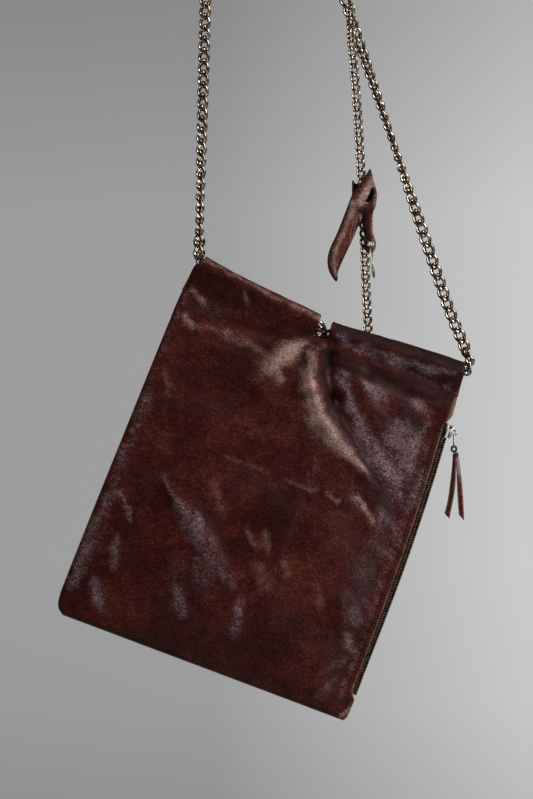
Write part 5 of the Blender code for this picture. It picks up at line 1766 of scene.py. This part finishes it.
class Nodes:
    """A short way to write a material's nodes."""

    def __init__(self, name):
        self.material = bpy.data.materials.new(name)
        self.material.use_nodes = True
        self.tree = self.material.node_tree
        self.shader = self.tree.nodes["Principled BSDF"]

    def add(self, kind, inputs=None, **settings):
        node = self.tree.nodes.new("ShaderNode" + kind)
        for key, value in settings.items():
            setattr(node, key, value)
        for key, value in (inputs or {}).items():
            self.set(node.inputs[key], value)
        return node

    def set(self, socket, value):
        if isinstance(value, bpy.types.NodeSocket):
            self.tree.links.new(value, socket)
        else:
            socket.default_value = value

    def shade(self, **inputs):
        for key, value in inputs.items():
            self.set(self.shader.inputs[key.replace("_", " ")], value)

    def attribute(self, name):
        return self.add("Attribute", attribute_name=name).outputs["Fac"]

    def math(self, operation, first, second=0.0, clamp=False):
        node = self.add("Math", {0: first, 1: second}, operation=operation, use_clamp=clamp)
        return node.outputs[0]

    def plus(self, first, second, clamp=False):
        return self.math("ADD", first, second, clamp)

    def minus(self, first, second):
        return self.math("SUBTRACT", first, second)

    def times(self, first, second, clamp=False):
        return self.math("MULTIPLY", first, second, clamp)

    def mix(self, factor, first, second, blend="MIX"):
        node = self.add("Mix", data_type="RGBA", blend_type=blend)
        self.set(node.inputs[0], factor)
        self.set(node.inputs[6], first)
        self.set(node.inputs[7], second)
        return node.outputs[2]

    def ramp(self, value, *stops):
        node = self.add("ValToRGB", {0: value})
        marks = node.color_ramp.elements
        while len(marks) < len(stops):
            marks.new(0.5)
        for mark, (place, shade) in zip(marks, stops):
            mark.position = place
            mark.color = shade if len(shade) == 4 else (*shade, 1.0)
        return node.outputs["Color"]

    def level(self, value, low, high):
        """A value's stretch from low to high, spread out from 0 to 1."""
        node = self.add("MapRange", {0: value, 1: low, 2: high}, interpolation_type="SMOOTHSTEP")
        return node.outputs[0]

    def noise(self, vector, scale, detail=3.0, roughness=0.55, distortion=0.0):
        node = self.add("TexNoise", {
            "Vector": vector, "Scale": scale, "Detail": detail,
            "Roughness": roughness, "Distortion": distortion,
        })
        return node.outputs[0]

    def warp(self, place, scale, reach):
        """Places pushed about by noise, by up to half of a reach."""
        wander = self.add("TexNoise", {"Vector": place, "Scale": scale, "Detail": 2.0})
        middle = {0: wander.outputs[1], 1: (0.5, 0.5, 0.5)}
        shift = self.add("VectorMath", middle, operation="SUBTRACT")
        shift = self.add("VectorMath", {0: shift.outputs[0], "Scale": reach}, operation="SCALE")
        return self.add("VectorMath", {0: place, 1: shift.outputs[0]}, operation="ADD").outputs[0]

    def bump(self, height, strength, distance, normal=None):
        node = self.add("Bump", {"Height": height, "Strength": strength, "Distance": distance})
        if normal is not None:
            self.set(node.inputs["Normal"], normal)
        return node.outputs[0]


def leather_coordinates(nodes):
    """The leather's own coordinates in millimetres, across and along."""
    uv = nodes.add("UVMap", uv_map="across_along").outputs[0]
    scaled = nodes.add("VectorMath", {0: uv, "Scale": 1000.0}, operation="SCALE")
    return scaled.outputs[0]


def make_leather_material(name):
    nodes = Nodes(name)
    place = leather_coordinates(nodes)
    bent = nodes.warp(place, 0.022, 16.0)
    crinkled = nodes.warp(bent, 0.20, 2.2)
    drawn = nodes.add("Mapping", {
        "Vector": crinkled, "Rotation": (0.0, 0.0, 0.45), "Scale": (0.42, 1.0, 1.0),
    })
    large = nodes.noise(place, 0.018, 2.0, 0.5)
    middle = nodes.noise(bent, 0.09, 4.0, 0.62)
    fine = nodes.noise(crinkled, 0.52, 3.0, 0.65)
    thread = nodes.noise(drawn.outputs[0], 0.40, 2.0, 0.55)
    off = nodes.math("ABSOLUTE", nodes.minus(thread, 0.5))
    crease = nodes.minus(1.0, nodes.times(off, 11.0, clamp=True))
    fold = nodes.math("ABSOLUTE", nodes.minus(nodes.noise(drawn.outputs[0], 0.17, 3.0, 0.6), 0.5))
    wrinkle = nodes.minus(1.0, nodes.times(fold, 13.0, clamp=True))
    cells = nodes.add("TexVoronoi", {"Vector": crinkled, "Scale": 0.42}, feature="DISTANCE_TO_EDGE")
    grain = nodes.level(cells.outputs["Distance"], 0.0, 0.34)
    blend = nodes.plus(nodes.times(large, 0.36), nodes.times(middle, 0.26))
    blend = nodes.plus(blend, nodes.times(fine, 0.38))
    base = nodes.ramp(
        blend,
        (0.39, colour(47, 16, 12)),
        (0.50, colour(70, 26, 21)),
        (0.61, colour(98, 43, 34)),
    )
    rust = nodes.attribute("rust")
    streak = nodes.plus(0.04, nodes.times(rust, 0.25))
    streak = nodes.times(streak, nodes.level(thread, 0.50, 0.66))
    base = nodes.mix(streak, base, colour(142, 74, 56))
    base = nodes.mix(nodes.times(rust, nodes.level(middle, 0.3, 0.65)), base, colour(112, 52, 38))
    # Painted shade: the leather darkened where the marks paint it, and the fob's dark edge paint
    base = nodes.mix(nodes.times(nodes.attribute("deep"), 0.85), base, colour(26, 11, 11))
    base = nodes.mix(nodes.times(crease, 0.58), base, colour(24, 8, 8))
    pebble = nodes.plus(nodes.times(grain, 0.55), nodes.times(fine, 0.9))
    pebble = nodes.minus(pebble, nodes.times(crease, 0.35))
    pebble = nodes.minus(pebble, nodes.times(wrinkle, 0.30))
    pebble = nodes.plus(pebble, 0.06)
    # Painted highlights: a cool lilac one and a warm tan one, mixed into the colour and broken up
    # by the grain
    for kind, shade, low, high in (
        ("painted_sheen", colour(164, 142, 148), 0.10, 1.00), ("painted_glow", colour(206, 168, 152), 0.38, 0.66),
    ):
        amount = nodes.attribute(kind)
        if kind == "painted_sheen":
            # The painted cool highlight on the gathers' crests as well
            amount = nodes.math("MAXIMUM", amount, nodes.times(nodes.attribute("gather_highlight"), 0.6))
        broken = nodes.times(nodes.minus(middle, 0.5), 0.7)
        broken = nodes.plus(broken, nodes.times(nodes.minus(fine, 0.5), 0.9))
        broken = nodes.times(broken, nodes.times(amount, 4.0, clamp=True))
        amount = nodes.plus(amount, broken, clamp=True)
        speck = nodes.plus(low, nodes.times(pebble, high))
        base = nodes.mix(nodes.times(amount, speck, clamp=True), base, shade)
    normal = nodes.bump(grain, 0.45, 0.0003)
    normal = nodes.bump(crease, -0.40, 0.0003, normal)
    normal = nodes.bump(wrinkle, -0.45, 0.0006, normal)
    normal = nodes.bump(fine, 0.35, 0.0004, normal)
    normal = nodes.bump(middle, 0.2, 0.0006, normal)
    rough = nodes.plus(0.24, nodes.times(fine, 0.16))
    rough = nodes.plus(rough, nodes.times(nodes.attribute("deep"), 0.6))
    nodes.shade(Base_Color=base, Roughness=rough, Normal=normal)
    nodes.shader.inputs["Specular IOR Level"].default_value = 0.20
    return nodes.material


def make_suede_material(name):
    nodes = Nodes(name)
    place = leather_coordinates(nodes)
    nap = nodes.noise(place, 1.2, 4.0, 0.7)
    patches = nodes.noise(place, 0.08, 2.0)
    base = nodes.ramp(
        nodes.plus(nodes.times(nap, 0.6), nodes.times(patches, 0.4)),
        (0.35, colour(92, 62, 40)),
        (0.65, colour(150, 114, 80)),
    )
    nodes.shade(Base_Color=base, Roughness=0.95, Normal=nodes.bump(nap, 0.5, 0.0003))
    return nodes.material


def make_edge_material(name):
    nodes = Nodes(name)
    place = nodes.add("TexCoord").outputs["Object"]
    rough = nodes.noise(place, 900.0, 3.0)
    base = nodes.ramp(rough, (0.3, colour(30, 12, 10)), (0.7, colour(78, 40, 30)))
    nodes.shade(Base_Color=base, Roughness=0.6, Normal=nodes.bump(rough, 0.4, 0.0002))
    return nodes.material


def make_plain(name, dark, light, scale, roughness):
    """A matt surface that varies from a dark to a light colour."""
    nodes = Nodes(name)
    rough = nodes.noise(nodes.add("TexCoord").outputs["Object"], scale, 3.0)
    base = nodes.ramp(rough, (0.35, colour(*dark)), (0.65, colour(*light)))
    nodes.shade(Base_Color=base, Roughness=roughness, Normal=nodes.bump(rough, 0.4, 0.0002))
    return nodes.material


def make_metal(name, dark, light, roughness):
    nodes = Nodes(name)
    place = nodes.add("TexCoord").outputs["Object"]
    wear = nodes.noise(place, 260.0, 4.0, 0.6)
    pits = nodes.noise(place, 1500.0, 2.0, 0.6)
    base = nodes.ramp(wear, (0.38, dark), (0.62, light))
    rough = nodes.plus(roughness - 0.08, nodes.times(wear, 0.16))
    normal = nodes.bump(pits, 0.06, 0.0001)
    nodes.shade(Base_Color=base, Metallic=1.0, Roughness=rough, Normal=normal)
    return nodes.material


# The stage


def make_wall_material():
    """A pale wall seen by its own light, with the room's light painted on it: lighter to the right
    and darker towards the top and the bottom.
    """
    wall = Nodes("wall")
    place = wall.add("TexCoord").outputs["Generated"]
    split = wall.add("SeparateXYZ", {0: place})
    sideways = wall.ramp(
        split.outputs[0],
        (0.29, colour(157, 157, 157)),
        (0.46, colour(159, 159, 159)),
        (0.60, colour(186, 186, 186)),
        (0.70, colour(203, 203, 203)),
    )
    upright = wall.ramp(
        split.outputs[1],
        (0.03, (0.84, 0.84, 0.84)),
        (0.14, (0.95, 0.95, 0.95)),
        (0.30, (1.0, 1.0, 1.0)),
        (0.72, (0.98, 0.98, 0.98)),
        (0.96, (0.74, 0.74, 0.74)),
    )
    shade = wall.mix(1.0, sideways, upright, "MULTIPLY")
    wall.tree.nodes.remove(wall.shader)
    # The wall's painted light, given off as its own
    painted_glow = wall.add("Emission", {"Color": shade, "Strength": 1.0})
    wall.tree.links.new(painted_glow.outputs[0], wall.tree.nodes["Material Output"].inputs[0])
    return wall.material


def make_world():
    """Seen as a pale room, and as a dim one by what it lights."""
    world = bpy.data.worlds.new("studio")
    bpy.context.scene.world = world
    world.use_nodes = True
    tree = world.node_tree
    back = tree.nodes["Background"]
    back.inputs["Color"].default_value = (0.80, 0.82, 0.86, 1.0)
    seen = tree.nodes.new("ShaderNodeLightPath")
    level = tree.nodes.new("ShaderNodeMapRange")
    tree.links.new(seen.outputs["Is Camera Ray"], level.inputs[0])
    level.inputs["To Min"].default_value = WORLD_LIGHT
    level.inputs["To Max"].default_value = WORLD_SEEN
    tree.links.new(level.outputs[0], back.inputs["Strength"])


def make_stage():
    """A pale wall far behind, a pale floor below, soft studio light and the camera."""
    bpy.ops.mesh.primitive_plane_add(size=1.0, location=WALL_PLACE)
    backdrop = bpy.context.object
    backdrop.name = "backdrop"
    backdrop.rotation_euler = (math.radians(90), 0.0, 0.0)
    backdrop.scale = WALL_SIZE
    backdrop.data.materials.append(make_wall_material())
    ground = Nodes("ground")
    ground.shade(Base_Color=colour(190, 190, 188), Roughness=0.8)
    bpy.ops.mesh.primitive_plane_add(size=FLOOR_SIZE, location=FLOOR_PLACE)
    floor = bpy.context.object
    floor.name = "floor"
    floor.data.materials.append(ground.material)
    make_world()
    for row in LAMPS:
        light = bpy.data.lights.new(row.name, "AREA")
        light.shape = "RECTANGLE"
        light.size = row.width
        light.size_y = row.height
        light.energy = row.power
        light.color = row.shade
        lamp = bpy.data.objects.new(row.name, light)
        lamp.location = row.place
        lamp.rotation_euler = (LAMP_TARGET - Vector(row.place)).to_track_quat("-Z", "Y").to_euler()
        lamp.visible_camera = False
        bpy.context.scene.collection.objects.link(lamp)
    camera = bpy.data.cameras.new("camera")
    camera.lens = CAMERA_LENS
    camera.sensor_width = 36.0
    camera.clip_end = 50.0
    viewer = bpy.data.objects.new("camera", camera)
    viewer.location = CAMERA_PLACE
    viewer.rotation_euler = (math.radians(90), 0.0, 0.0)
    bpy.context.scene.collection.objects.link(viewer)
    bpy.context.scene.camera = viewer
    bpy.context.scene.view_settings.view_transform = "Standard"


leather = make_leather_material("red_brown_leather")
suede = make_suede_material("tan_suede")
cut_edge = make_edge_material("cut_edge")
chain_metal = make_metal("gunmetal", colour(104, 94, 84), colour(206, 190, 172), 0.20)
steel = make_metal("steel", colour(176, 172, 166), colour(222, 219, 213), 0.36)
brass = make_metal("brass", colour(62, 50, 40), colour(112, 92, 72), 0.42)
cloth = make_plain("dark_cloth", (14, 9, 8), (34, 26, 22), 700.0, 0.85)
thread = make_plain("thread", (12, 5, 5), (36, 18, 17), 900.0, 0.6)
lace_leather = make_plain("lace_leather", (26, 12, 13), (62, 34, 34), 260.0, 0.4)
# Lighter and darker copies of the lace leather: painted highlight and painted shade
lace_painted_highlight = make_plain("lace_painted_highlight", (74, 30, 20), (150, 72, 48), 260.0, 0.5)
lace_painted_shade = make_plain("lace_painted_shade", (12, 8, 8), (40, 32, 32), 260.0, 0.4)
dark_side = make_plain("dark_side", (18, 9, 8), (44, 24, 20), 400.0, 0.8)

front = make_leather(
    "front_leather", 1, "front_short", FRONT_COLUMNS, FRONT_ROWS, FOLDS, (leather, suede, cut_edge)
)
keep(front, "leather", "front_panel")
back = make_leather(
    "back_leather", -1, "back_short", BACK_COLUMNS, BACK_ROWS, BACK_FOLDS,
    (leather, suede, cut_edge),
)
keep(back, "leather", "back_panel")
make_strap(chain_metal)
make_leash(chain_metal)
make_fob((leather, dark_side, cut_edge), chain_metal)
make_key_ring(steel)
make_zip_looks(brass, cloth)
make_slider_looks(steel)
make_tassel_looks(lace_leather, lace_painted_highlight, lace_painted_shade)
surface = BVHTree.FromObject(front, bpy.context.evaluated_depsgraph_get())
for row in stitch_paths():
    make_stitches(row, surface, thread)
make_stage()
